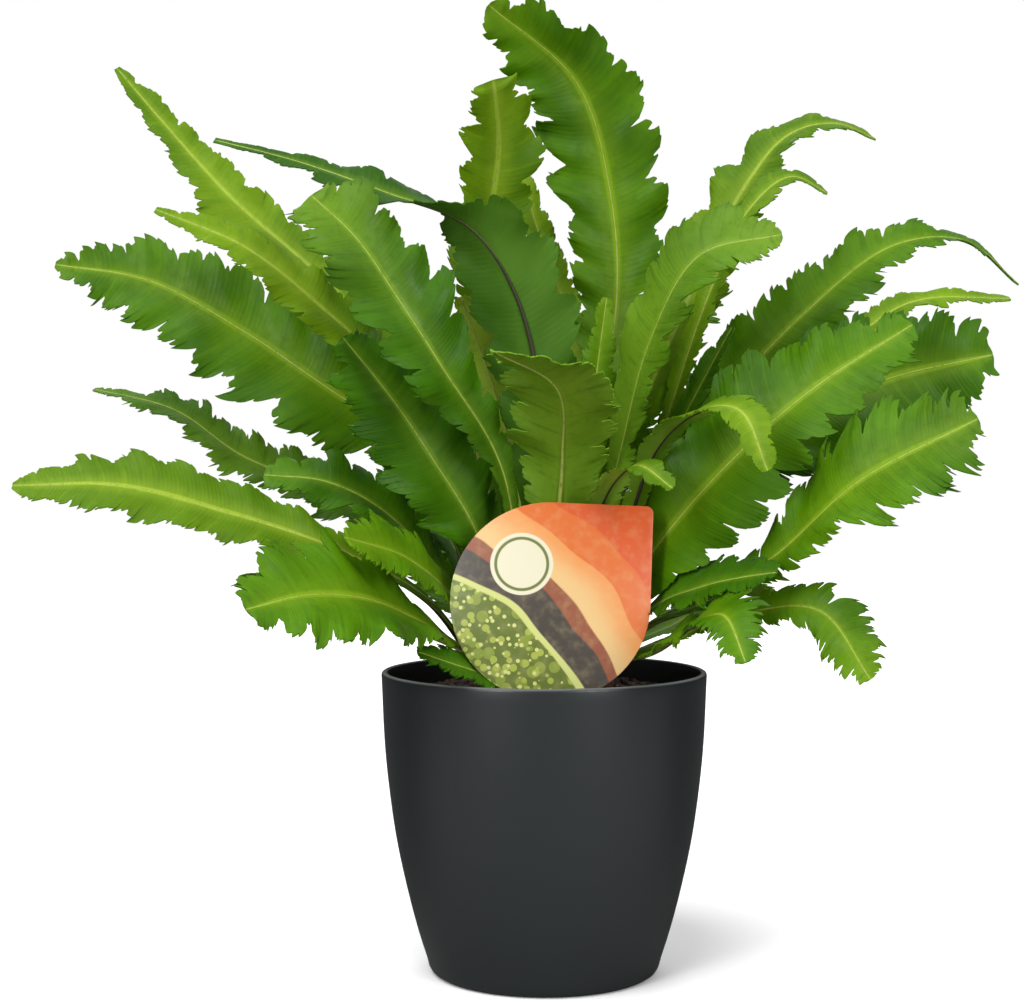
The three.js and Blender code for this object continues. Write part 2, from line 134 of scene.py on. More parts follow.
class Bench:
    """The few steps of mesh work that every piece goes through."""

    @staticmethod
    def clear() -> None:
        """Deselects everything, because an operator acts on all that is selected."""
        bpy.ops.object.select_all(action="DESELECT")
        bpy.context.view_layer.objects.active = None

    @staticmethod
    def take(*pieces: Piece) -> None:
        """Selects pieces and nothing else, and makes the first of them the active one.

        Args:
            pieces: The objects to work on.
        """
        Bench.clear()
        for piece in pieces:
            piece.select_set(True)
        bpy.context.view_layer.objects.active = pieces[0]

    @staticmethod
    def name(piece: Piece, name: str) -> Piece:
        """Names a piece and its mesh alike, and returns it."""
        piece.name = piece.data.name = name
        return piece

    @staticmethod
    def add(name: str, primitive: Callable[..., object], **sizes: object) -> Piece:
        """Adds a primitive, which is then the only selected and the active piece.

        Args:
            name: The new piece's name.
            primitive: The operator that adds it.
            sizes: Its sizes and place.

        Returns:
            The new piece, which its builder goes on to shape.
        """
        Bench.clear()
        primitive(**sizes)
        return Bench.name(bpy.context.object, name)

    @staticmethod
    @contextmanager
    def editing() -> Iterator[None]:
        """Opens the active piece in edit mode, all of it selected, and closes it afterwards."""
        bpy.ops.object.mode_set(mode="EDIT")
        bpy.ops.mesh.select_all(action="SELECT")
        yield
        bpy.ops.object.mode_set(mode="OBJECT")

    @staticmethod
    def face_out() -> None:
        """Turns all faces of the piece in edit mode outwards."""
        bpy.ops.mesh.select_all(action="SELECT")
        bpy.ops.mesh.normals_make_consistent(inside=False)

    @staticmethod
    def extrude(step: Point, middle: Point, grow: Point) -> None:
        """Extrudes the selected face by a step, and resizes it about its new middle."""
        bpy.ops.mesh.extrude_region_move(TRANSFORM_OT_translate={"value": step})
        bpy.ops.transform.resize(value=grow, center_override=middle)

    @staticmethod
    def grid(name: str, across: int, along: int, place: Placer) -> Piece:
        """Adds a flat grid and lays it along a surface.

        Args:
            name: The new piece's name.
            across: How many cells it has across.
            along: How many cells it has along.
            place: Takes a point's x and y, from -1 to 1, and gives its place and its UV.

        Returns:
            The laid grid.
        """
        add = bpy.ops.mesh.primitive_grid_add
        piece = Bench.add(name, add, x_subdivisions=across, y_subdivisions=along, size=2.0)
        mesh = piece.data
        spots = [place(point.co.x, point.co.y) for point in mesh.vertices]
        mesh.vertices.foreach_set("co", [value for spot, _ in spots for value in spot])
        corners = [0] * len(mesh.loops)
        mesh.loops.foreach_get("vertex_index", corners)
        mesh.uv_layers[0].data.foreach_set("uv", [value for i in corners for value in spots[i][1]])
        mesh.update()
        return piece

    @staticmethod
    def turn(name: str, profile: Sequence[Pair], sides: int) -> Piece:
        """Raises a round form ring by ring from a disc, by extruding and resizing its last face.

        Args:
            name: The new piece's name.
            profile: Pairs of radius and height in millimetres, from the foot up the outside.
                Its ends are closed by flat faces.
            sides: How many sides the form has.

        Returns:
            The closed form, with its faces pointing outwards.
        """
        rings = [(radius * MM, height * MM) for radius, height in profile]
        radius, height = rings[0]
        piece = Bench.add(
            name, bpy.ops.mesh.primitive_circle_add, vertices=sides, radius=radius,
            fill_type="NGON", location=(0.0, 0.0, height),
        )
        bpy.ops.object.transform_apply(location=True, rotation=False, scale=False)
        with Bench.editing():
            for next_radius, next_height in rings[1:]:
                rise = (0.0, 0.0, next_height - height)
                grow = next_radius / radius
                Bench.extrude(rise, (0.0, 0.0, next_height), (grow, grow, 1.0))
                radius, height = next_radius, next_height
            Bench.face_out()
        return piece

    @staticmethod
    def close(piece: Piece, near: float = 1e-6) -> None:
        """Joins the doubles of a rolled-up grid and closes its ends.

        Args:
            piece: The rolled-up grid.
            near: Points nearer than this, in metres, become one.
        """
        Bench.take(piece)
        with Bench.editing():
            bpy.ops.mesh.remove_doubles(threshold=near)
            bpy.ops.mesh.fill_holes(sides=0)
            Bench.face_out()

    @staticmethod
    def modify(piece: Piece, kind: str, **settings: object) -> None:
        """Adds a modifier to a piece and applies it.

        Args:
            piece: The piece.
            kind: The modifier's kind.
            settings: The modifier's settings.
        """
        Bench.take(piece)
        modifier = piece.modifiers.new(kind, kind)
        for key, value in settings.items():
            setattr(modifier, key, value)
        bpy.ops.object.modifier_apply(modifier=modifier.name)

    @staticmethod
    def thicken(piece: Piece, thickness: float) -> None:
        """Gives a sheet its thickness, half to each side, with its second finish on the back.

        Args:
            piece: The sheet, with its front's and its back's finish.
            thickness: In the units of its mesh.
        """
        Bench.modify(
            piece, "SOLIDIFY", thickness=thickness, offset=0.0, material_offset=1,
            material_offset_rim=0,
        )

    @staticmethod
    def smooth(piece: Piece, degrees: float) -> None:
        """Shades a piece smooth, but for edges sharper than an angle."""
        Bench.take(piece)
        bpy.ops.object.shade_smooth_by_angle(angle=math.radians(degrees))

    @staticmethod
    def dress(piece: Piece, material: Material, degrees: float) -> None:
        """Gives a piece its material, and shades it smooth up to an angle."""
        piece.data.materials.append(material)
        Bench.smooth(piece, degrees)

    @staticmethod
    def join(name: str, pieces: Sequence[Piece]) -> Piece:
        """Joins pieces into one.

        Args:
            name: The joined piece's name.
            pieces: What is joined; the first keeps its material slots in front.

        Returns:
            The joined piece.
        """
        Bench.take(*pieces)
        bpy.ops.object.join()
        return Bench.name(pieces[0], name)

    @staticmethod
    def strew(name: str, pattern: Piece, places: Sequence[Matrix]) -> Piece:
        """Sets a copy of a small piece, with a mesh of its own, at each of many places.

        Args:
            name: The name of the copies, which are joined into one piece.
            pattern: What is copied; it is removed afterwards.
            places: Where the copies go.

        Returns:
            The strewn piece.
        """
        twins = []
        for place in places:
            twin = pattern.copy()
            twin.data = pattern.data.copy()
            twin.data.transform(place)
            bpy.context.scene.collection.objects.link(twin)
            twins.append(twin)
        bpy.data.objects.remove(pattern)
        return Bench.join(name, twins)

    @staticmethod
    def fit(piece: Piece, slot: str, *nodes: str) -> Piece:
        """Puts a finished piece on its body, and hides the model's nodes that it stands for.

        Args:
            piece: The finished piece.
            slot: Not used.
            nodes: The model's nodes that it stands for, if any.

        Returns:
            The same piece.
        """
        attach(piece, BODY)
        if nodes:
            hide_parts(*nodes)
        return piece


# ---------------------------------------------------------------- materials


class Graph:
    """A node tree under construction: a material's, or the world's."""

    def __init__(self, owner: Material | bpy.types.World) -> None:
        """Takes up the nodes of a material or of the world."""
        owner.use_nodes = True
        self._tree = owner.node_tree

    def node(self, kind: str, **settings: object) -> bpy.types.Node:
        """Adds a node of a kind, with its settings.

        Args:
            kind: The node's kind.
            settings: Values for its properties, by their names.

        Returns:
            The node.
        """
        made = self._tree.nodes.new(kind)
        for key, value in settings.items():
            setattr(made, key, value)
        return made

    def fill(self, socket: Socket, value: Socket | float | Colour) -> None:
        """Links an output to an input, or sets the input to a number or an opaque colour.

        Args:
            socket: The input.
            value: An output, a number or a colour.
        """
        if isinstance(value, Socket):
            self._tree.links.new(value, socket)
        elif isinstance(value, tuple):
            socket.default_value = (*value, 1.0)
        else:
            socket.default_value = value

    def parts(self, vector: Socket) -> tuple[Socket, ...]:
        """The X, Y and Z of a vector.

        Args:
            vector: The vector.

        Returns:
            Three values.
        """
        split = self.node("ShaderNodeSeparateXYZ")
        self.fill(split.inputs[0], vector)
        return tuple(split.outputs)

    def sum(self, kind: str, first: Socket | float, second: Socket | float = 0.0) -> Socket:
        """A value worked out from one or two others.

        Args:
            kind: The operation, such as ADD, MULTIPLY, ABSOLUTE or PINGPONG.
            first: A socket or a number.
            second: A socket or a number.

        Returns:
            The result.
        """
        made = self.node("ShaderNodeMath", operation=kind)
        self.fill(made.inputs[0], first)
        self.fill(made.inputs[1], second)
        return made.outputs[0]

    def band(
        self, value: Socket, low: float, high: float, start: Socket | float = 0.0, end: float = 1.0
    ) -> Socket:
        """A value that eases from start to end as another goes from low to high.

        Args:
            value: The other value.
            low: Where the easing begins.
            high: Where it ends.
            start: The result at low and before.
            end: The result at high and beyond.

        Returns:
            The eased value.
        """
        made = self.node("ShaderNodeMapRange", interpolation_type="SMOOTHSTEP")
        names = ("Value", "From Min", "From Max", "To Min", "To Max")
        for name, source in zip(names, (value, low, high, start, end)):
            self.fill(made.inputs[name], source)
        return made.outputs[0]


class Recipe(Graph):
    """A node material under construction, with a Principled shader at its end."""

    def __init__(self, name: str, roughness: float, **sockets: float | tuple[float, ...]) -> None:
        """Starts a material.

        Args:
            name: The material's name.
            roughness: Its roughness where nothing is linked there.
            sockets: Values set directly on the shader's sockets, by their names with
                underscores for spaces.
        """
        self.material = bpy.data.materials.new(name)
        super().__init__(self.material)
        self.shader = self._tree.nodes["Principled BSDF"]
        self.shader.inputs["Roughness"].default_value = roughness
        for socket, value in sockets.items():
            self.shader.inputs[socket.replace("_", " ")].default_value = value

    def place(self) -> Socket:
        """The point's place on the object, in metres."""
        return self.node("ShaderNodeTexCoord").outputs["Object"]

    def map(self) -> Socket:
        """The piece's own UV map."""
        return self.node("ShaderNodeUVMap").outputs["UV"]

    def tone(self) -> Socket:
        """How light or dark the frond is, from its mesh."""
        return self.node("ShaderNodeAttribute", attribute_name="tone").outputs["Fac"]

    def over(self, kind: str, vector: Socket, **numbers: float | Point) -> bpy.types.Node:
        """Adds a node that works on a vector, with its numbers by the names of its sockets.

        Args:
            kind: The node's kind.
            vector: The vector.
            numbers: Values for its sockets, by their names.

        Returns:
            The node.
        """
        made = self.node(kind)
        self.fill(made.inputs["Vector"], vector)
        for name, value in numbers.items():
            made.inputs[name].default_value = value
        return made

    def stretch(self, vector: Socket, scale: Point, turn: float = 0.0) -> Socket:
        """A vector scaled, then turned about Z by degrees.

        Args:
            vector: The vector.
            scale: Its scale along X, Y and Z.
            turn: In degrees.

        Returns:
            The new vector.
        """
        angles = (0.0, 0.0, math.radians(turn))
        return self.over("ShaderNodeMapping", vector, Rotation=angles, Scale=scale).outputs[0]

    def noise(
        self, vector: Socket, scale: float, detail: float = 2.0, rough: float = 0.5
    ) -> Socket:
        """A noise value from 0 to 1 over a vector.

        Args:
            vector: The vector.
            scale: How fine the noise is.
            detail: How many finer layers it has.
            rough: How strong they are.

        Returns:
            The value.
        """
        numbers = {"Scale": scale, "Detail": detail, "Roughness": rough}
        return self.over("ShaderNodeTexNoise", vector, **numbers).outputs["Fac"]

    def cells(self, vector: Socket, scale: float) -> bpy.types.Node:
        """A cell texture over a vector."""
        return self.over("ShaderNodeTexVoronoi", vector, Scale=scale)

    def blend(
        self, share: Socket | float, first: Socket | Colour, second: Socket | Colour
    ) -> Socket:
        """Two colours mixed by a share.

        Args:
            share: From 0 for the first to 1 for the second.
            first: The first colour.
            second: The second colour.

        Returns:
            The mixed colour.
        """
        made = self.node("ShaderNodeMix", data_type="RGBA")
        for place, value in ((0, share), (6, first), (7, second)):
            self.fill(made.inputs[place], value)
        return made.outputs[2]

    def relief(self, height: Socket, strength: float, distance: float) -> None:
        """Bumps the surface by a height.

        Args:
            height: The height, from 0 to 1.
            strength: How much of it shows.
            distance: How high 1 is, in metres.
        """
        bump = self.node("ShaderNodeBump")
        bump.inputs["Strength"].default_value = strength
        bump.inputs["Distance"].default_value = distance
        self.fill(bump.inputs["Height"], height)
        self.fill(self.shader.inputs["Normal"], bump.outputs[0])

    def paint(self, colour: Socket) -> None:
        """Sets the base colour."""
        self.fill(self.shader.inputs["Base Color"], colour)

    def gloss(self, roughness: Socket) -> None:
        """Sets a roughness that varies."""
        self.fill(self.shader.inputs["Roughness"], roughness)


class Green(Enum):
    """The three greens of the fronds, by the names of their material slots."""

    BRIGHT = "leaf_bright"
    DEEP = "leaf_deep"
    LIGHT = "leaf_light"


@dataclass(frozen=True)
class LeafFinish:
    """One green of leaf, above and below.

    Attributes:
        green: Which of the greens it is.
        face: Colour of the upper side.
        shade: The darker colour that the upper side drifts into.
        vein: Colour of the fine side veins.
        heart: Colour beside the midrib.
        under: Colour of the underside.
        gloss: Roughness of the upper side.
        clear: How translucent the blade is.
        vein_share: How strongly the side veins are coloured.
    """

    green: Green
    face: Colour
    shade: Colour
    vein: Colour
    heart: Colour
    under: Colour
    gloss: float
    clear: float = 0.06
    vein_share: float = 0.1

    def _start(self, side: str, roughness: float, shine: float) -> Recipe:
        """Starts the material of one side of the blade.

        Args:
            side: The side's name.
            roughness: Its roughness.
            shine: Its specular level.

        Returns:
            The material, a little translucent.
        """
        return Recipe(
            f"{self.green.value}_{side}", roughness, Specular_IOR_Level=shine,
            Subsurface_Weight=self.clear, Subsurface_Radius=(0.3, 1.0, 0.05),
            Subsurface_Scale=0.0015,
        )

    def _tinted(self, made: Recipe, first: Colour, second: Colour, scale: float) -> Socket:
        """The blade's ground colour: two greens that drift into each other, and the frond's tone.

        Args:
            made: The material.
            first: The main colour.
            second: The colour that it drifts into.
            scale: The size of the drift.

        Returns:
            The colour.
        """
        drift = made.band(made.noise(made.place(), scale, 3.0), 0.38, 0.68, 0.0, 0.8)
        colour = made.blend(drift, first, second)
        tone = made.tone()
        colour = made.blend(made.band(tone, 0.0, 1.0, 0.0, 0.7), colour, self.heart)
        return made.blend(made.band(tone, 0.0, -1.0, 0.0, 0.8), colour, self.shade)

    def _veins(self, made: Recipe) -> tuple[Socket, Socket]:
        """The side veins and the distance from the midrib, both from 0 to 1.

        Args:
            made: The material.

        Returns:
            The veins' strength and the distance.
        """
        along, across, _ = made.parts(made.map())
        off_middle = made.sum("ABSOLUTE", made.sum("SUBTRACT", across, 0.5))
        off_rib = made.sum("MULTIPLY", off_middle, 2.0)
        line = made.sum("PINGPONG", along, 0.5)
        patch = made.band(made.noise(made.place(), 55.0, 2.0), 0.34, 0.66, 0.15, 1.0)
        fade = made.sum("MULTIPLY", made.band(off_rib, 0.95, 0.4), patch)
        return made.sum("MULTIPLY", made.band(line, 0.0, 0.3, 1.0, 0.0), fade), off_rib

    def upper(self) -> Material:
        """The upper side: waxy, with faint side veins and a paler line at the midrib.

        Returns:
            The material.
        """
        made = self._start("upper", self.gloss, 0.12)
        colour = self._tinted(made, self.face, self.shade, 24.0)
        vein, off_rib = self._veins(made)
        colour = made.blend(made.sum("MULTIPLY", vein, self.vein_share), colour, self.vein)
        streak = made.noise(made.stretch(made.map(), (0.5, 1.5, 1.0)), 1.0, 3.0, 0.6)
        colour = made.blend(made.band(streak, 0.5, 0.72, 0.0, 0.4), colour, self.shade)
        colour = made.blend(made.band(streak, 0.48, 0.3, 0.0, 0.16), colour, self.vein)
        colour = made.blend(made.band(off_rib, 0.0, 0.42, 0.28, 0.0), colour, self.heart)
        colour = made.blend(made.band(off_rib, 0.03, 0.09, 0.6, 0.0), colour, self.heart)
        mottle = made.noise(made.place(), 260.0, 4.0, 0.6)
        colour = made.blend(made.band(mottle, 0.48, 0.75, 0.0, 0.25), colour, self.shade)
        margin = made.band(off_rib, 0.8, 1.0, 0.0, 0.35)
        made.paint(made.blend(margin, colour, self.shade))
        made.gloss(made.band(mottle, 0.3, 0.7, self.gloss - 0.06, self.gloss + 0.12))
        made.relief(made.sum("ADD", vein, made.sum("MULTIPLY", mottle, 0.6)), 0.24, 0.00012)
        return made.material

    def lower(self) -> Material:
        """The underside: paler and duller, with the side veins standing out.

        Returns:
            The material.
        """
        made = self._start("lower", self.gloss + 0.14, 0.08)
        colour = self._tinted(made, self.under, self.face, 28.0)
        vein, _ = self._veins(made)
        made.paint(made.blend(made.sum("MULTIPLY", vein, self.vein_share), colour, self.heart))
        mottle = made.noise(made.place(), 300.0, 4.0, 0.6)
        made.relief(made.sum("ADD", vein, made.sum("MULTIPLY", mottle, 0.3)), 0.3, 0.00016)
        return made.material


LEAF_FINISHES = (
    LeafFinish(
        Green.BRIGHT, face=srgb(74, 118, 2), shade=srgb(44, 84, 1), vein=srgb(108, 150, 18),
        heart=srgb(126, 158, 26), under=srgb(92, 134, 20), gloss=0.42,
    ),
    LeafFinish(
        Green.DEEP, face=srgb(60, 106, 5), shade=srgb(34, 72, 3), vein=srgb(88, 134, 22),
        heart=srgb(112, 146, 34), under=srgb(122, 172, 62), gloss=0.38,
    ),
    LeafFinish(
        Green.LIGHT, face=srgb(100, 134, 8), shade=srgb(66, 104, 4), vein=srgb(136, 162, 34),
        heart=srgb(156, 182, 52), under=srgb(162, 198, 74), gloss=0.46,
    ),
)


@dataclass(frozen=True)
class RibFinish:
    """The midrib and stalk: pale green above, brown to near black below and at the foot."""

    upper: Colour = srgb(150, 165, 70)
    lower: Colour = srgb(42, 38, 18)
    young: Colour = srgb(150, 146, 78)
    foot: Colour = srgb(44, 33, 18)

    def material(self) -> Material:
        """The rib's material. Its UV is the angle round the rib and the share of its length.

        Returns:
            The material.
        """
        made = Recipe("rib", 0.42, Specular_IOR_Level=0.45)
        place = made.place()
        around, share, _ = made.parts(made.map())
        below = made.band(made.sum("PINGPONG", made.sum("SUBTRACT", around, 0.5), 0.5), 0.2, 0.3)
        back = made.blend(made.band(made.tone(), 0.2, 0.6, 0.0, 0.85), self.lower, self.young)
        colour = made.blend(below, self.upper, back)
        colour = made.blend(made.band(share, 0.05, 0.16, 0.8, 0.0), colour, self.foot)
        streak = made.noise(made.stretch(place, (900.0, 900.0, 120.0)), 1.0, 3.0)
        colour = made.blend(made.band(streak, 0.5, 0.72, 0.0, 0.5), colour, self.lower)
        made.paint(colour)
        made.relief(streak, 0.4, 0.0003)
        return made.material


@dataclass(frozen=True)
class PotFinish:
    """Anthracite moulded plastic, satin, with a very fine grain and a painted highlight along the
    lip.
    """

    body: Colour = srgb(23, 28, 29)
    dust: Colour = srgb(32, 37, 38)
    # lip: the colour of a painted highlight along the top of the lip
    lip: Colour = srgb(104, 109, 110)
    lip_highlight_heights: Pair = (0.1292, 0.1299)

    def material(self) -> Material:
        """The pot's material.

        Returns:
            The material.
        """
        made = Recipe("anthracite_plastic", 0.36, Specular_IOR_Level=0.5)
        place = made.place()
        cloud = made.noise(made.stretch(place, (9.0, 9.0, 5.0)), 1.0, 4.0)
        colour = made.blend(made.band(cloud, 0.35, 0.7, 0.0, 0.35), self.body, self.dust)
        _, _, height = made.parts(place)
        # A thin band at the top of the lip is painted pale, as a painted highlight.
        made.paint(made.blend(made.band(height, *self.lip_highlight_heights, 0.0, 0.8), colour, self.lip))
        grain = made.noise(place, 1900.0, 2.0)
        made.gloss(made.band(grain, 0.3, 0.7, 0.33, 0.43))
        made.relief(grain, 0.25, 0.00008)
        return made.material


@dataclass(frozen=True)
class SoilFinish:
    """Dark peat with lighter fibres and brown bark."""

    peat: Colour = srgb(40, 33, 30)
    dry: Colour = srgb(112, 94, 82)
    bark: Colour = srgb(88, 62, 52)

    def material(self, name: str, bark_share: float) -> Material:
        """The soil's material.

        Args:
            name: The material's name.
            bark_share: How much of it takes the bark's colour, from 0 to 1.

        Returns:
            The material.
        """
        made = Recipe(name, 0.95, Specular_IOR_Level=0.2)
        place = made.place()
        coarse = made.noise(place, 240.0, 5.0, 0.65)
        colour = made.blend(made.band(coarse, 0.42, 0.72), self.peat, self.dry)
        fleck, _, _ = made.parts(made.cells(place, 420.0).outputs["Color"])
        share = made.band(fleck, 1.0 - bark_share, 1.0 - bark_share * 0.5)
        made.paint(made.blend(share, colour, self.bark))
        made.relief(made.noise(place, 900.0, 4.0, 0.7), 0.8, 0.0008)
        return made.material


@dataclass(frozen=True)
class CrownFinish:
    """The rootstock and its papery brown scales."""

    dark: Colour = srgb(44, 30, 18)
    tan: Colour = srgb(112, 78, 44)

    def material(self, name: str, tan_share: float) -> Material:
        """The crown's material.

        Args:
            name: The material's name.
            tan_share: How much of the tan shows, from 0 to 1.

        Returns:
            The material.
        """
        made = Recipe(name, 0.85, Specular_IOR_Level=0.3)
        place = made.place()
        streak = made.noise(made.stretch(place, (500.0, 500.0, 90.0)), 1.0, 4.0, 0.6)
        made.paint(made.blend(made.band(streak, 0.35, 0.75, 0.0, tan_share), self.dark, self.tan))
        made.relief(streak, 0.7, 0.0008)
        return made.material


@dataclass(frozen=True)
class CardFinish:
    """The plant card's print: plain arcs from green to orange, a field of dots and a bare disc.

    Its places and sizes are on the card's own UV map, which is 1 at the card's radius.

    Attributes:
        hub: The middle of the arcs, below and to the left of the card.
        arcs: Where each arc begins, how softly, and its colour, from the hub outwards.
        dots: The dots' layers, each as how many there are to 1, their size and their colour.
            A layer is also turned by as many degrees, so that no two of them line up.
        spot: The middle of the disc.
        spot_radius: The disc's radius.
        ring_radius: The radius of the thin line on it.
    """

    cream: Colour = srgb(208, 190, 138)
    moss: Colour = srgb(94, 108, 46)
    disc: Colour = srgb(212, 206, 180)
    ring: Colour = srgb(104, 112, 60)
    board: Colour = srgb(232, 228, 214)
    hub: Pair = (-1.5, -1.7)
    arcs: tuple[tuple[float, float, Colour], ...] = (
        (2.06, 0.02, srgb(192, 196, 120)), (2.13, 0.02, srgb(70, 64, 58)),
        (2.4, 0.02, srgb(138, 80, 58)), (2.52, 0.02, srgb(214, 178, 122)),
        (2.56, 0.36, srgb(216, 142, 80)), (2.92, 0.02, srgb(206, 102, 42)),
        (3.22, 0.02, srgb(202, 82, 32)),
    )
    dots: tuple[tuple[float, float, Colour], ...] = (
        (7.0, 0.44, srgb(124, 140, 56)), (9.0, 0.36, srgb(152, 164, 70)),
        (13.0, 0.28, srgb(192, 196, 120)),
    )
    spot: Pair = (-0.3, 0.36)
    spot_radius: float = 0.31
    ring_radius: float = 0.26

    def _away(self, made: Recipe, flat: Socket, centre: Pair) -> Socket:
        """The distance over the card from one of its points.

        Args:
            made: The material.
            flat: The place on the card.
            centre: The point.

        Returns:
            The distance.
        """
        x, y, _ = made.parts(flat)
        right = made.sum("POWER", made.sum("SUBTRACT", x, centre[0]), 2.0)
        up = made.sum("POWER", made.sum("SUBTRACT", y, centre[1]), 2.0)
        return made.sum("SQRT", made.sum("ADD", right, up))

    def front(self) -> Material:
        """The printed front.

        Returns:
            The material.
        """
        made = Recipe(
            "card_print", 0.36, Specular_IOR_Level=0.3, Coat_Weight=0.08, Coat_Roughness=0.25
        )
        flat = made.map()
        colour: Socket | Colour = self.moss
        for count, size, tint in self.dots:
            cells = made.cells(made.stretch(flat, (1.0, 1.0, 1.0), count), count)
            dot = made.band(cells.outputs["Distance"], size, size - 0.04)
            colour = made.blend(dot, colour, tint)
        waver = made.sum("MULTIPLY", made.noise(flat, 1.6, 0.0), 0.24)
        reach = made.sum("ADD", self._away(made, flat, self.hub), waver)
        for begin, ease, tint in self.arcs:
            colour = made.blend(made.band(reach, begin, begin + ease), colour, tint)
        grain = made.band(made.noise(flat, 9.0, 4.0), 0.4, 0.8, 0.0, 0.16)
        colour = made.blend(grain, colour, self.cream)
        reach = self._away(made, flat, self.spot)
        disc = made.band(reach, self.spot_radius + 0.01, self.spot_radius)
        colour = made.blend(disc, colour, self.disc)
        off_ring = made.sum("ABSOLUTE", made.sum("SUBTRACT", reach, self.ring_radius))
        made.paint(made.blend(made.band(off_ring, 0.02, 0.01), colour, self.ring))
        return made.material

    def back(self) -> Material:
        """The plain uncoated back and edges.

        Returns:
            The material.
        """
        made = Recipe("card_board", 0.7)
        fibre = made.noise(made.place(), 700.0, 4.0)
        made.paint(made.blend(made.band(fibre, 0.3, 0.8, 0.0, 0.4), self.board, self.cream))
        made.relief(fibre, 0.2, 0.0001)
        return made.material


# ---------------------------------------------------------------- pot, soil, crown and card


@dataclass
class CoverPot:
    """The anthracite cover pot. It stands for the model's pot, with a smooth round wall.

    Its sizes are in millimetres. `outside` gives radius and height from the foot to the lip,
    and `steps` how many rings of faces stand between two of those points.
    """

    height: float = 130.0
    wall: float = 2.8
    floor: float = 4.0
    foot: float = 46.0
    sides: int = 144
    steps: int = 5
    outside: tuple[Pair, ...] = (
        (49.0, 1.2), (51.0, 6.5), (55.1, 19.5), (60.1, 39.0), (64.2, 58.6),
        (67.0, 78.0), (69.0, 97.6), (70.5, 128.6),
    )
    finish: PotFinish = field(default_factory=PotFinish)

    def cavity(self, height: float) -> float:
        """Radius of the inside at a height, in millimetres.

        Args:
            height: The height.

        Returns:
            The radius.
        """
        last = self.outside[0]
        for radius, level in self.outside:
            if height <= level:
                share = (height - last[1]) / ((level - last[1]) or 1.0)
                return mix(last[0], radius, share) - self.wall
            last = (radius, level)
        return last[0] - self.wall

    def _curve(self) -> list[Pair]:
        """The outer wall from its foot's rounding to the lip, as a smooth line of points.

        Returns:
            The points, as pairs of radius and height.
        """
        knots = [Vector((radius, height, 0.0)) for radius, height in self.outside[1:]]
        line = Midrib(knots)
        count = self.steps * (len(knots) - 1)
        walk = [line.at(i / count) for i in range(count + 1)]
        return [(point.x, point.y) for point in walk]

    def _profile(self) -> list[Pair]:
        """The whole outline from the middle of the base, round the lip, to the inner floor.

        Returns:
            The points, as pairs of radius and height.
        """
        lip, top = self.outside[-1]
        outer = self._curve()
        rim = [
            (lip - 0.1, top + 0.6), (lip - 0.4, self.height - 0.3), (lip - 0.9, self.height),
            (lip - 2.0, self.height), (lip - 2.5, self.height - 0.3), (lip - self.wall, top - 0.2),
        ]
        inner = [(self.cavity(height), height) for _, height in reversed(outer[3:-1])]
        return [
            (self.foot * 0.5, 0.0), (self.foot, 0.0), (self.foot + 1.7, 0.35), self.outside[0],
            (50.1, 3.0), *outer, *rim, *inner,
            (self.foot, self.floor), (self.foot * 0.5, self.floor),
        ]

    def build(self) -> Piece:
        """Turns the pot and dresses it.

        Returns:
            The pot.
        """
        pot = Bench.turn("cover_pot", self._profile(), self.sides)
        Bench.dress(pot, self.finish.material(), 35.0)
        return Bench.fit(pot, "pot", "pot")


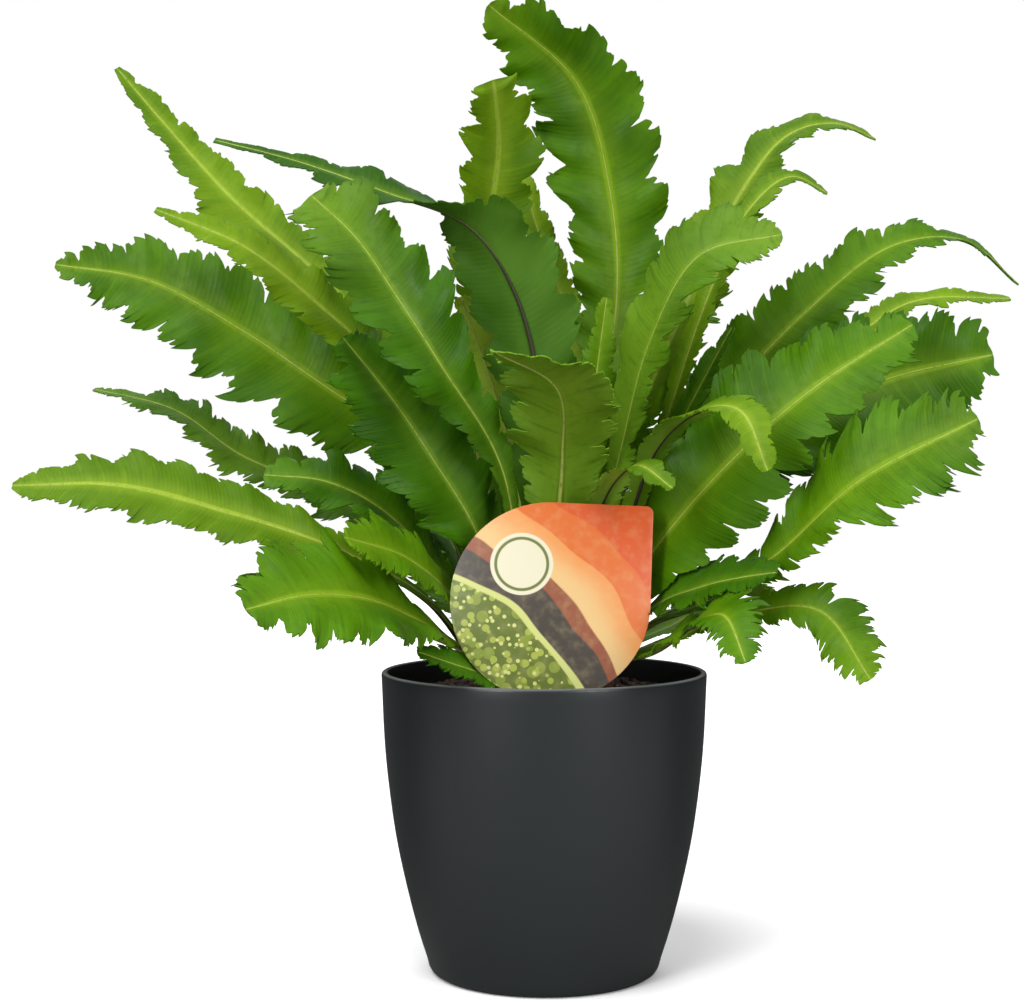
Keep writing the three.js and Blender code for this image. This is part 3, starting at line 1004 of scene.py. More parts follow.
@dataclass
class PottingSoil:
    """The peat: a rough mound that fills the pot, with loose crumbs and bark on it.

    Its sizes are in millimetres. `edge` and `mound` are the heights of its surface at the wall
    and round the crown's dish, `levels` are the heights at which its side follows the pot, and
    `lumps` gives how often each size of lump comes to a millimetre, and how high it is.
    """

    pot: CoverPot
    edge: float = 119.5
    mound: float = 123.5
    dish: float = 31.3
    dish_floor: float = 119.0
    base: float = 4.3
    gap: float = 0.3
    sides: int = 120
    rings: int = 19
    ring_step: float = 1.9
    levels: tuple[float, ...] = (19.5, 39.0, 58.6, 78.0, 97.6, 112.0)
    rough_from: float = 118.5
    lumps: tuple[Pair, ...] = ((0.16, 1.3), (0.55, 0.8))
    crumbs: int = 420
    flakes: int = 70
    seed: int = 41
    finish: SoilFinish = field(default_factory=SoilFinish)

    def level(self, radius: float) -> float:
        """Height of the surface at a distance from the axis, in millimetres.

        Args:
            radius: The distance.

        Returns:
            The height.
        """
        outer = self.pot.cavity(self.edge) - self.gap
        share = clamp((radius - self.dish) / (outer - self.dish))
        return mix(self.mound, self.edge, smooth(share))

    def _bed(self) -> Piece:
        """The closed body of the soil, its top roughened by a few sizes of lump.

        Returns:
            The bed.
        """
        outer = self.pot.cavity(self.edge) - self.gap
        wall = [(self.pot.cavity(level) - self.gap, level) for level in self.levels]
        radii = [outer - 0.6 - i * self.ring_step for i in range(self.rings)]
        profile = [
            (self.pot.foot * 0.5, self.base), (self.pot.foot - 0.6, self.base), *wall,
            (outer, self.edge - 1.2), *[(radius, self.level(radius)) for radius in radii],
            (22.0, self.dish_floor), (8.0, self.dish_floor),
        ]
        bed = Bench.turn("soil_bed", profile, self.sides)
        for point in bed.data.vertices:
            spot = point.co * 1000.0
            if spot.z >= self.rough_from:
                lump = sum(noise.noise(spot * often) * high for often, high in self.lumps)
                edge = clamp((outer - math.hypot(spot.x, spot.y)) / 4.0)
                point.co.z += max(-1.0, lump) * edge * MM
        return bed

    def _pattern(self, name: str, stretch: Point) -> Piece:
        """One crumb or flake of twenty faces, to be copied.

        Args:
            name: Its name, whose length also varies its shape.
            stretch: Its proportions.

        Returns:
            The pattern.
        """
        add = bpy.ops.mesh.primitive_ico_sphere_add
        pattern = Bench.add(name, add, subdivisions=1, radius=1.0)
        for point in pattern.data.vertices:
            bend = 1.0 + 0.35 * noise.noise(point.co * 3.1 + Vector((len(name), 0.0, 0.0)))
            point.co = Vector(part * size for part, size in zip(point.co, stretch)) * bend
        return pattern

    def _scatter(self, name: str, stretch: Point, count: int, sizes: Pair) -> Piece:
        """Strews copies of a crumb over the soil as one piece.

        Args:
            name: The piece's name.
            stretch: The crumb's proportions.
            count: How many there are.
            sizes: Their least and greatest half size, in millimetres.

        Returns:
            The strewn piece.
        """
        dice = random.Random(self.seed + count)
        outer = self.pot.cavity(self.edge) - 2.5
        places = []
        for _ in range(count):
            radius = math.sqrt(dice.uniform((self.dish - 1.0) ** 2, outer**2))
            turn = dice.uniform(0.0, math.tau)
            size = mix(*sizes, dice.random() ** 2)
            height = self.level(radius) + size * 0.25
            spot = Vector((radius * math.cos(turn), radius * math.sin(turn), height)) * MM
            spin = Matrix.Rotation(dice.uniform(0.0, math.tau), 4, "Z")
            tilt = Matrix.Rotation(dice.uniform(-0.6, 0.6), 4, "X")
            places.append(Matrix.Translation(spot) @ (spin @ tilt) @ Matrix.Scale(size * MM, 4))
        return Bench.strew(name, self._pattern(name, stretch), places)

    def build(self) -> list[Piece]:
        """Makes the soil and what lies on it.

        Returns:
            The bed, the crumbs and the flakes.
        """
        bed = self._bed()
        Bench.dress(bed, self.finish.material("peat", 0.12), 180.0)
        crumbs = self._scatter("soil_crumbs", (1.0, 0.8, 0.7), self.crumbs, (0.7, 2.3))
        Bench.dress(crumbs, self.finish.material("peat_crumbs", 0.22), 60.0)
        flakes = self._scatter("bark_flakes", (1.0, 0.35, 0.16), self.flakes, (1.6, 3.6))
        flakes.data.materials.append(self.finish.material("bark", 0.9))
        return [
            Bench.fit(bed, "soil", "soil"),
            Bench.fit(crumbs, "soil"),
            Bench.fit(flakes, "soil"),
        ]


@dataclass
class Crown:
    """The fern's rootstock: a rough dome that the stalks rise from, with papery scales.

    Its sizes are in millimetres. `rings` are the radii of the dome's rings, and `hair_bends`
    gives how far out and up a hair of length 1 is at each bend, and how it thins there.
    """

    radius: float = 31.0
    seat: float = 113.0
    rise: float = 25.0
    rings: tuple[float, ...] = (30.0, 28.0, 25.0, 22.0, 19.0, 16.0, 13.0, 10.0, 7.0, 4.0, 1.5)
    sides: int = 64
    scales: int = 260
    hairs: int = 320
    hair_bends: tuple[Point, ...] = ((0.04, 0.36, 0.85), (0.16, 0.68, 0.7), (0.36, 0.92, 0.25))
    seed: int = 7
    finish: CrownFinish = field(default_factory=CrownFinish)

    def top(self, radius: float) -> float:
        """Height of the dome at a distance from the axis, in millimetres."""
        share = radius / (self.radius + 6.0)
        return self.seat + self.rise * math.sqrt(max(0.0, 1.0 - share**2))

    def _dome(self) -> Piece:
        """The dome itself, roughened.

        Returns:
            The dome.
        """
        profile = [(12.0, self.seat), (27.0, self.seat), (self.radius, 122.0)]
        profile += [(radius, self.top(radius)) for radius in self.rings]
        dome = Bench.turn("crown_rootstock", profile, self.sides)
        for point in dome.data.vertices:
            spot = point.co * 1000.0
            if spot.z > 120.0:
                point.co += point.co.normalized() * noise.noise(spot * 0.4) * 0.9 * MM
        return dome

    def _scale_pattern(self) -> Piece:
        """One narrow scale, flat and pointed, standing up from its foot, a millimetre long.

        Returns:
            The pattern.
        """
        pattern = Bench.add(
            "crown_scale", bpy.ops.mesh.primitive_cone_add, vertices=5, radius1=0.16,
            radius2=0.0, depth=1.0, location=(0.0, 0.0, 0.5),
        )
        bpy.ops.object.transform_apply(location=True, rotation=False, scale=False)
        with Bench.editing():
            bpy.ops.transform.resize(value=(1.0, 0.3, 1.0), center_override=(0.0, 0.0, 0.0))
        return pattern

    def _hair_pattern(self) -> Piece:
        """One thin three-sided hair that bends over to its point, a millimetre long.

        Returns:
            The pattern.
        """
        add = bpy.ops.mesh.primitive_circle_add
        pattern = Bench.add("crown_hair", add, vertices=3, radius=0.022, fill_type="NGON")
        reach, rise = 0.0, 0.0
        with Bench.editing():
            for next_reach, next_rise, grow in self.hair_bends:
                step = (next_reach - reach, 0.0, next_rise - rise)
                Bench.extrude(step, (next_reach, 0.0, next_rise), (grow,) * 3)
                reach, rise = next_reach, next_rise
            Bench.face_out()
        return pattern

    def _strew(self, name: str, pattern: Piece, count: int, sizes: Pair) -> Piece:
        """Sets copies of a scale or a hair all over the dome as one piece.

        Args:
            name: The piece's name.
            pattern: What is copied.
            count: How many there are.
            sizes: Their least and greatest length, in millimetres.

        Returns:
            The strewn piece.
        """
        dice = random.Random(self.seed + count)
        places = []
        for _ in range(count):
            radius = math.sqrt(dice.uniform(4.0, (self.radius - 0.5) ** 2))
            turn = dice.uniform(0.0, math.tau)
            foot = (radius * math.cos(turn), radius * math.sin(turn), self.top(radius) - 0.6)
            lean = Matrix.Rotation(turn, 4, "Z") @ Matrix.Rotation(dice.uniform(0.2, 1.1), 4, "Y")
            twist = Matrix.Rotation(dice.uniform(0.0, math.tau), 4, "Z")
            size = Matrix.Scale(dice.uniform(*sizes) * MM, 4)
            places.append(Matrix.Translation(Vector(foot) * MM) @ lean @ twist @ size)
        return Bench.strew(name, pattern, places)

    def build(self) -> list[Piece]:
        """Makes the dome with its scales and hairs.

        Returns:
            The dome, the scales and the hairs.
        """
        dome = self._dome()
        Bench.dress(dome, self.finish.material("rootstock", 0.5), 180.0)
        scales = self._strew("crown_scales", self._scale_pattern(), self.scales, (3.5, 8.0))
        scales.data.materials.append(self.finish.material("scales", 0.95))
        hairs = self._strew("crown_hairs", self._hair_pattern(), self.hairs, (5.0, 11.0))
        hairs.data.materials.append(self.finish.material("hairs", 0.7))
        return [
            Bench.fit(dome, "crown", "crown"),
            Bench.fit(scales, "crown"),
            Bench.fit(hairs, "crown"),
        ]


@dataclass
class PlantCard:
    """The plant card: round with one square corner, on a stake that stands in the soil.

    Its sizes are in millimetres and degrees. `place` is the middle of its round part, `corner`
    rounds the square corner, and `edge` rounds the board's edges.
    """

    radius: float = 41.2
    thickness: float = 0.8
    lean: float = 12.0
    turn: float = -2.5
    place: Point = (1.8, -46.0, 163.5)
    stake_width: float = 12.0
    stake_length: float = 34.0
    corner: float = 3.0
    edge: float = 0.18
    arc_steps: int = 96
    finish: CardFinish = field(default_factory=CardFinish)

    def _arc(
        self, middle: Pair, radius: float, start: float, end: float, steps: int
    ) -> list[Point]:
        """Points along an arc.

        Args:
            middle: The arc's centre.
            radius: Its radius.
            start: The angle that it starts at, in radians.
            end: The angle that it ends at.
            steps: How many steps it has.

        Returns:
            The points, from start to end.
        """
        x, y = middle
        angles = [mix(start, end, i / steps) for i in range(steps + 1)]
        return [(x + radius * math.cos(a), y + radius * math.sin(a), 0.0) for a in angles]

    def _outline(self) -> list[Point]:
        """The card's outline in its own plane, anticlockwise from the stake's right foot.

        Returns:
            The points.
        """
        half = self.stake_width / 2.0
        dip = math.asin(half / self.radius)
        foot = -self.radius - self.stake_length
        quarter = math.pi / 2.0
        inset = self.radius - self.corner
        return [
            (half, foot, 0.0),
            *self._arc((0.0, 0.0), self.radius, -quarter + dip, 0.0, self.arc_steps // 4),
            *self._arc((inset, inset), self.corner, 0.0, quarter, 8),
            *self._arc((0.0, 0.0), self.radius, quarter, 3.0 * quarter - dip, self.arc_steps // 2),
            (-half, foot, 0.0),
        ]

    def build(self) -> Piece:
        """Cuts the card, prints it and stands it up.

        Returns:
            The card.
        """
        outline = self._outline()
        add = bpy.ops.mesh.primitive_circle_add
        card = Bench.add("plant_card", add, vertices=len(outline), radius=1.0, fill_type="NGON")
        mesh = card.data
        for point, spot in zip(mesh.vertices, outline):
            point.co = spot
        for loop, corner in zip(mesh.uv_layers[0].data, mesh.loops):
            spot = mesh.vertices[corner.vertex_index].co
            loop.uv = (spot.x / self.radius, spot.y / self.radius)
        mesh.materials.append(self.finish.front())
        mesh.materials.append(self.finish.back())
        Bench.thicken(card, self.thickness)
        Bench.modify(
            card, "BEVEL", width=self.edge, segments=2, limit_method="ANGLE",
            angle_limit=math.radians(50.0),
        )
        mesh.transform(
            Matrix.Translation(Vector(self.place) * MM)
            @ Matrix.Rotation(math.radians(90.0 - self.lean), 4, "X")
            @ Matrix.Rotation(math.radians(self.turn), 4, "Z")
            @ Matrix.Scale(MM, 4)
        )
        Bench.smooth(card, 40.0)
        return Bench.fit(card, "label", "label")


# ---------------------------------------------------------------- the fronds


class Midrib:
    """A smooth line through points, read by share of its length."""

    DIVISIONS = 200

    def __init__(self, points: Sequence[Vector]) -> None:
        """Measures the line.

        Args:
            points: The points that it passes through.
        """
        self._points = list(points)
        self._lengths = [0.0]
        last = self._step(0.0)
        for i in range(1, self.DIVISIONS + 1):
            here = self._step(i / self.DIVISIONS)
            self._lengths.append(self._lengths[-1] + (here - last).length)
            last = here
        self.length = self._lengths[-1]

    def _step(self, step: float) -> Vector:
        """The point at a step from 0 to 1 along the line's own parameter.

        Args:
            step: The step.

        Returns:
            The point.
        """
        points = self._points
        last = len(points) - 1
        place = min(max(step, 0.0), 1.0) * last
        i = min(int(place), last - 1)
        w = place - i
        b, c = points[i], points[i + 1]
        a = points[i - 1] if i > 0 else b * 2.0 - c
        d = points[i + 2] if i + 2 <= last else c * 2.0 - b
        before, span, after = ((q - p).length ** 0.5 for p, q in ((a, b), (b, c), (c, d)))
        out = ((b - a) / before - (c - a) / (before + span) + (c - b) / span) * span
        into = ((c - b) / span - (d - b) / (span + after) + (d - c) / after) * span
        square = (c - b) * 3.0 - out * 2.0 - into
        cube = (b - c) * 2.0 + out + into
        return b + out * w + square * (w * w) + cube * (w * w * w)

    def _of_share(self, share: float) -> float:
        """The parameter's step at a share of the length.

        Args:
            share: The share.

        Returns:
            The step, from 0 to 1.
        """
        target = clamp(share) * self.length
        i = min(max(bisect.bisect_right(self._lengths, target) - 1, 0), self.DIVISIONS - 1)
        span = self._lengths[i + 1] - self._lengths[i]
        return (i + (target - self._lengths[i]) / span) / self.DIVISIONS

    def at(self, share: float) -> Vector:
        """The point at a share of the length."""
        return self._step(self._of_share(share))

    def along(self, share: float) -> Vector:
        """The direction at a share of the length.

        Args:
            share: The share.

        Returns:
            The direction, of length 1.
        """
        step = self._of_share(share)
        low, high = max(0.0, step - 0.0001), min(1.0, step + 0.0001)
        return (self._step(high) - self._step(low)).normalized()


@dataclass(frozen=True)
class FrondPlan:
    """One frond as the model has it, in millimetres and degrees.

    Attributes:
        name: The node's name without its first word.
        green: Which green it is.
        ring: How far from the axis the stalk leaves the crown.
        azimuth: In which direction, from +X.
        facing: The compass direction that the frond leans to.
        width: Greatest width, over the lobes.
        widest: Its share of the length.
        roll: Turn about the midrib at evenly spaced places from the foot to the tip.
        way: The midrib's points out to the tip.
        taper: How the blade narrows to its tip; over 1 for a long thin tip.
        swell: Over 1 for a blade that stays narrow above its stalk.
        depth: How deep the large lobes are, up to 1.
        cut: How deep the small lobes are, against the usual.
        tone: Lighter over 0, darker under 0, from -1 to 1.
        ruffled: How strongly the blade is ruffled and puffed, against the usual.
        twisted: True where the stalk has twisted, so that the upper side faces outwards.
    """

    name: str
    green: Green
    ring: float
    azimuth: float
    facing: float
    width: float
    widest: float
    roll: tuple[float, ...]
    way: tuple[Point, ...]
    taper: float = 0.65
    swell: float = 1.0
    depth: float = 1.0
    cut: float = 1.0
    tone: float = 0.0
    ruffled: float = 1.0
    twisted: bool = False


FRONDS = (
    FrondPlan("tall", Green.BRIGHT, 8, 60, 90, 52, 0.74, (0, 0, 5),
              ((21, 15, 230), (33, 30, 293), (30, 30, 342), (15, 20, 388), (-24, 0, 418)),
              tone=0.1),
    FrondPlan("folded_top", Green.LIGHT, 8, 130, 95, 38, 0.85, (0, 10, 30),
              ((-14, 15, 221), (-25, 22, 275), (-25, 20, 319), (-20, 8, 358), (-22, -8, 384)),
              taper=0.25, tone=-0.4),
    FrondPlan("dark_rib", Green.DEEP, 8, 255, 200, 46, 0.46, (95, 90, 75, -45, -60),
              ((-1, -16, 236), (-12, -22, 290), (-32, -28, 319), (-66, -26, 333),
               (-103, -18, 347), (-141, -10, 358)), taper=1.7, tone=-0.7),
    FrondPlan("glossy_left", Green.DEEP, 20, 250, 205, 48, 0.78, (-30, -85, -75),
              ((-18, -31, 217), (-43, -52, 260), (-61, -58, 288), (-77, -58, 311),
               (-95, -56, 328)), taper=0.45, swell=1.7, tone=0.25),
    FrondPlan("blue_left", Green.DEEP, 20, 216, 210, 50, 0.62, (-40, -85, -80),
              ((-28, -20, 188), (-46, -30, 220), (-64, -36, 247), (-84, -38, 272))),
    FrondPlan("big_left", Green.BRIGHT, 14, 182, 180, 56, 0.62, (-30, -75, -70),
              ((-54, 0, 226), (-90, 0, 250), (-130, 5, 277), (-173, 10, 300), (-214, 10, 307)),
              taper=0.8, cut=1.4, tone=-0.2),
    FrondPlan("upper_left", Green.LIGHT, 14, 146, 165, 35, 0.6, (0, -40, -50),
              ((-51, 25, 250), (-97, 40, 301), (-142, 50, 341), (-174, 60, 376), (-198, 65, 404)),
              taper=0.9, tone=-0.3),
    FrondPlan("light_left", Green.LIGHT, 20, 198, 192, 28, 0.62, (0, -60, -60),
              ((-61, -20, 250), (-98, -26, 289), (-127, -28, 311), (-163, -28, 326)),
              taper=0.9, depth=0.6, tone=-0.2),
    FrondPlan("ragged_left", Green.DEEP, 20, 160, 165, 26, 0.6, (0, -50, -20),
              ((-64, 20, 186), (-100, 30, 208), (-137, 35, 224), (-167, 40, 244),
               (-206, 50, 254)), cut=1.6, tone=0.3),
    FrondPlan("olive_left", Green.DEEP, 20, 180, 190, 30, 0.7, (0, -50, -50),
              ((-49, -8, 179), (-69, -16, 200), (-92, -20, 212), (-119, -20, 215))),
    FrondPlan("long_left", Green.LIGHT, 27, 202, 200, 34, 0.7, (0, -55, -50),
              ((-48, -27, 162), (-88, -50, 186), (-131, -62, 201), (-170, -68, 211),
               (-213, -68, 211)), taper=0.8, swell=1.3, depth=0.5, cut=0.8, tone=-0.7),
    FrondPlan("broad_low_left", Green.BRIGHT, 27, 232, 228, 56, 0.66, (0, -45, -45),
              ((-38, -35, 146), (-55, -58, 158), (-71, -84, 167), (-91, -106, 170),
               (-112, -126, 166))),
    FrondPlan("mid_low_left", Green.BRIGHT, 27, 219, 225, 32, 0.7, (0, -50, -50),
              ((-36, -28, 160), (-56, -54, 181), (-79, -84, 191)), cut=1.5, ruffled=0.4),
    FrondPlan("small_dark_left", Green.DEEP, 27, 248, 225, 20, 0.6, (0, -40, -40),
              ((-20, -42, 132), (-34, -54, 137), (-52, -62, 144)), tone=-0.6, ruffled=0.2),
    # Its tone is set to the full as painted light: the blade faces down into shade, and is painted
    # as light as the fronds round it.
    FrondPlan("front_centre", Green.DEEP, 20, 275, 268, 47, 0.66, (0, 0, -20),
              ((5, -25, 190), (7, -36, 222), (4, -66, 250), (-20, -92, 263)),
              tone=1.0, twisted=True),
    FrondPlan("upper_right", Green.LIGHT, 8, 15, 15, 34, 0.62, (0, 45, 30),
              ((35, 9, 223), (60, 17, 283), (81, 24, 328), (109, 28, 366), (131, 30, 372),
               (149, 30, 365)), taper=0.9, tone=-0.3),
    FrondPlan("fork_right", Green.LIGHT, 14, 2, 5, 16, 0.86, (0, 40, 30),
              ((46, 0, 217), (71, 3, 291), (90, 6, 331), (108, 9, 345), (124, 9, 338)),
              tone=-0.3, ruffled=0.3),
    FrondPlan("mid_right", Green.DEEP, 14, 322, 335, 44, 0.74, (0, 50, 60),
              ((32, -20, 224), (44, -36, 272), (63, -44, 305), (96, -50, 313)),
              cut=1.3, tone=0.4, ruffled=0.6),
    FrondPlan("crested_right", Green.BRIGHT, 14, 28, 12, 46, 0.5, (0, 55, 30),
              ((61, 24, 208), (84, 36, 250), (121, 40, 290), (160, 42, 319), (192, 42, 321),
               (216, 40, 301)), taper=1.4, cut=1.7, tone=-0.2),
    FrondPlan("pale_right", Green.LIGHT, 20, 19, 8, 18, 0.8, (0, 40, 30),
              ((68, 4, 203), (112, 8, 250), (160, 16, 290), (207, 20, 293))),
    FrondPlan("bright_right", Green.BRIGHT, 20, 0, 352, 58, 0.78, (0, 70, 85),
              ((67, -8, 200), (104, -14, 232), (141, -18, 254), (190, -18, 266)),
              cut=1.6, tone=-0.9),
    FrondPlan("broad_right", Green.BRIGHT, 20, 326, 325, 62, 0.46, (60, 80, 80),
              ((47, -27, 185), (79, -46, 224), (108, -54, 250), (148, -56, 276)), tone=-0.4,
              ruffled=0.6),
    FrondPlan("finger_right", Green.BRIGHT, 27, 325, 322, 52, 0.79, (0, 60, 70),
              ((44, -28, 153), (67, -42, 163), (93, -64, 184), (122, -82, 213),
               (165, -96, 237)), swell=1.6, cut=2.0),
    FrondPlan("low_right", Green.DEEP, 27, 310, 305, 32, 0.6, (0, 40, 40),
              ((45, -35, 160), (61, -54, 169), (76, -68, 174), (90, -80, 177)),
              tone=-0.6, ruffled=0.2),
    FrondPlan("claw_right", Green.BRIGHT, 27, 296, 298, 33, 0.57, (0, 30, 30),
              ((43, -43, 142), (58, -70, 155), (68, -96, 161), (74, -112, 145)),
              cut=1.9, ruffled=0.5),
    FrondPlan("drooping_right", Green.BRIGHT, 27, 338, 330, 24, 0.84, (0, 60, 60),
              ((57, -30, 148), (85, -54, 160), (109, -70, 161), (127, -80, 135)),
              swell=1.8, cut=1.4, tone=0.1),
    FrondPlan("curl_right", Green.LIGHT, 20, 311, 300, 20, 0.75, (0, 0, 40),
              ((34, -24, 192), (46, -39, 226), (62, -62, 241), (76, -80, 240), (85, -90, 217)),
              tone=-0.5, ruffled=0.3),
    FrondPlan("curl_centre", Green.LIGHT, 20, 294, 290, 16, 0.7, (0, 0, 30),
              ((19, -27, 175), (25, -35, 206), (37, -57, 219), (50, -69, 210)), tone=-0.4),
    FrondPlan("thin_back", Green.LIGHT, 14, 90, 90, 16, 0.7, (0, 0, 20),
              ((12, 40, 240), (12, 55, 286), (1, 60, 319), (-12, 60, 362)), tone=0.3),
    # Its tone is raised near the full as painted light, against the shade that it stands in
    # between other fronds.
    FrondPlan("pale_inner", Green.LIGHT, 8, 195, 250, 22, 0.78, (0, 0, 20),
              ((-10, -5, 205), (-21, -4, 250), (-36, -2, 292)), tone=0.9, twisted=True),
    FrondPlan("inner_right_a", Green.DEEP, 8, 325, 330, 26, 0.7, (60, 50, 40),
              ((22, 0, 210), (36, 2, 255), (56, 3, 300)), tone=0.3),
    FrondPlan("inner_right_b", Green.BRIGHT, 20, 344, 350, 18, 0.7, (40, 40, 40),
              ((41, -9, 200), (60, -12, 240), (80, -15, 278)), tone=-0.4, ruffled=0.3),
    FrondPlan("inner_right_c", Green.BRIGHT, 14, 296, 100, 16, 0.7, (0, 0, 10),
              ((16, -15, 200), (21, -17, 250), (26, -21, 290)), tone=0.4, ruffled=0.15),
    FrondPlan("back_high_left", Green.BRIGHT, 14, 118, 120, 44, 0.7, (0, 0, 0),
              ((-32, 50, 230), (-52, 80, 280), (-72, 110, 305))),
    FrondPlan("back_high_right", Green.BRIGHT, 14, 58, 58, 44, 0.7, (0, 0, 0),
              ((38, 50, 230), (58, 80, 280), (84, 112, 300))),
    FrondPlan("back_mid_left", Green.DEEP, 20, 130, 128, 46, 0.68, (0, 0, 0),
              ((-46, 56, 190), (-70, 92, 232), (-92, 128, 256))),
    FrondPlan("back_mid", Green.DEEP, 20, 95, 95, 46, 0.68, (0, 0, 0),
              ((-5, 70, 190), (-12, 115, 230), (-18, 165, 242))),
    FrondPlan("back_mid_right", Green.DEEP, 20, 48, 45, 46, 0.68, (0, 0, 0),
              ((60, 55, 185), (95, 92, 222), (140, 125, 240))),
    FrondPlan("back_low_left", Green.BRIGHT, 27, 115, 118, 42, 0.68, (0, 0, 0),
              ((-38, 72, 152), (-62, 118, 174), (-85, 158, 167)), cut=1.2),
    FrondPlan("back_low_right", Green.BRIGHT, 27, 72, 70, 42, 0.68, (0, 0, 0),
              ((28, 78, 152), (46, 122, 174), (62, 165, 167)), cut=1.2),
    FrondPlan("side_low_left", Green.BRIGHT, 27, 155, 152, 36, 0.68, (0, 0, 0),
              ((-70, 40, 150), (-108, 62, 168), (-145, 80, 162)), cut=1.2),
    FrondPlan("side_low_right", Green.BRIGHT, 27, 32, 36, 38, 0.68, (0, 0, 0),
              ((62, 52, 146), (90, 84, 160), (114, 114, 150)), cut=1.2),
)


@dataclass(frozen=True)
class Section:
    """The model's own outline at one of its sections, for one edge of the blade.

    Attributes:
        share: Where it is, as a share of the length.
        reach: How far the edge stands out there, against the blade's half width.
        is_tip: True at a lobe's tip, false in a notch.
    """

    share: float
    reach: float
    is_tip: bool


@dataclass(frozen=True)
class Row:
    """One row of a blade's points, from edge to edge.

    Attributes:
        place: Its number, from the stalk.
        share: Its share of the length.
        centre: The midrib's point there.
        along: The direction to the tip.
        side: The direction to the second edge.
        face: The direction out of the upper face.
        half: Half the blade's width without its lobes, in millimetres.
        lobed: How much of its lobes the blade has there.
        toothed: How much of its teeth and slits it has there.
    """

    place: int
    share: float
    centre: Vector
    along: Vector
    side: Vector
    face: Vector
    half: float
    lobed: float
    toothed: float


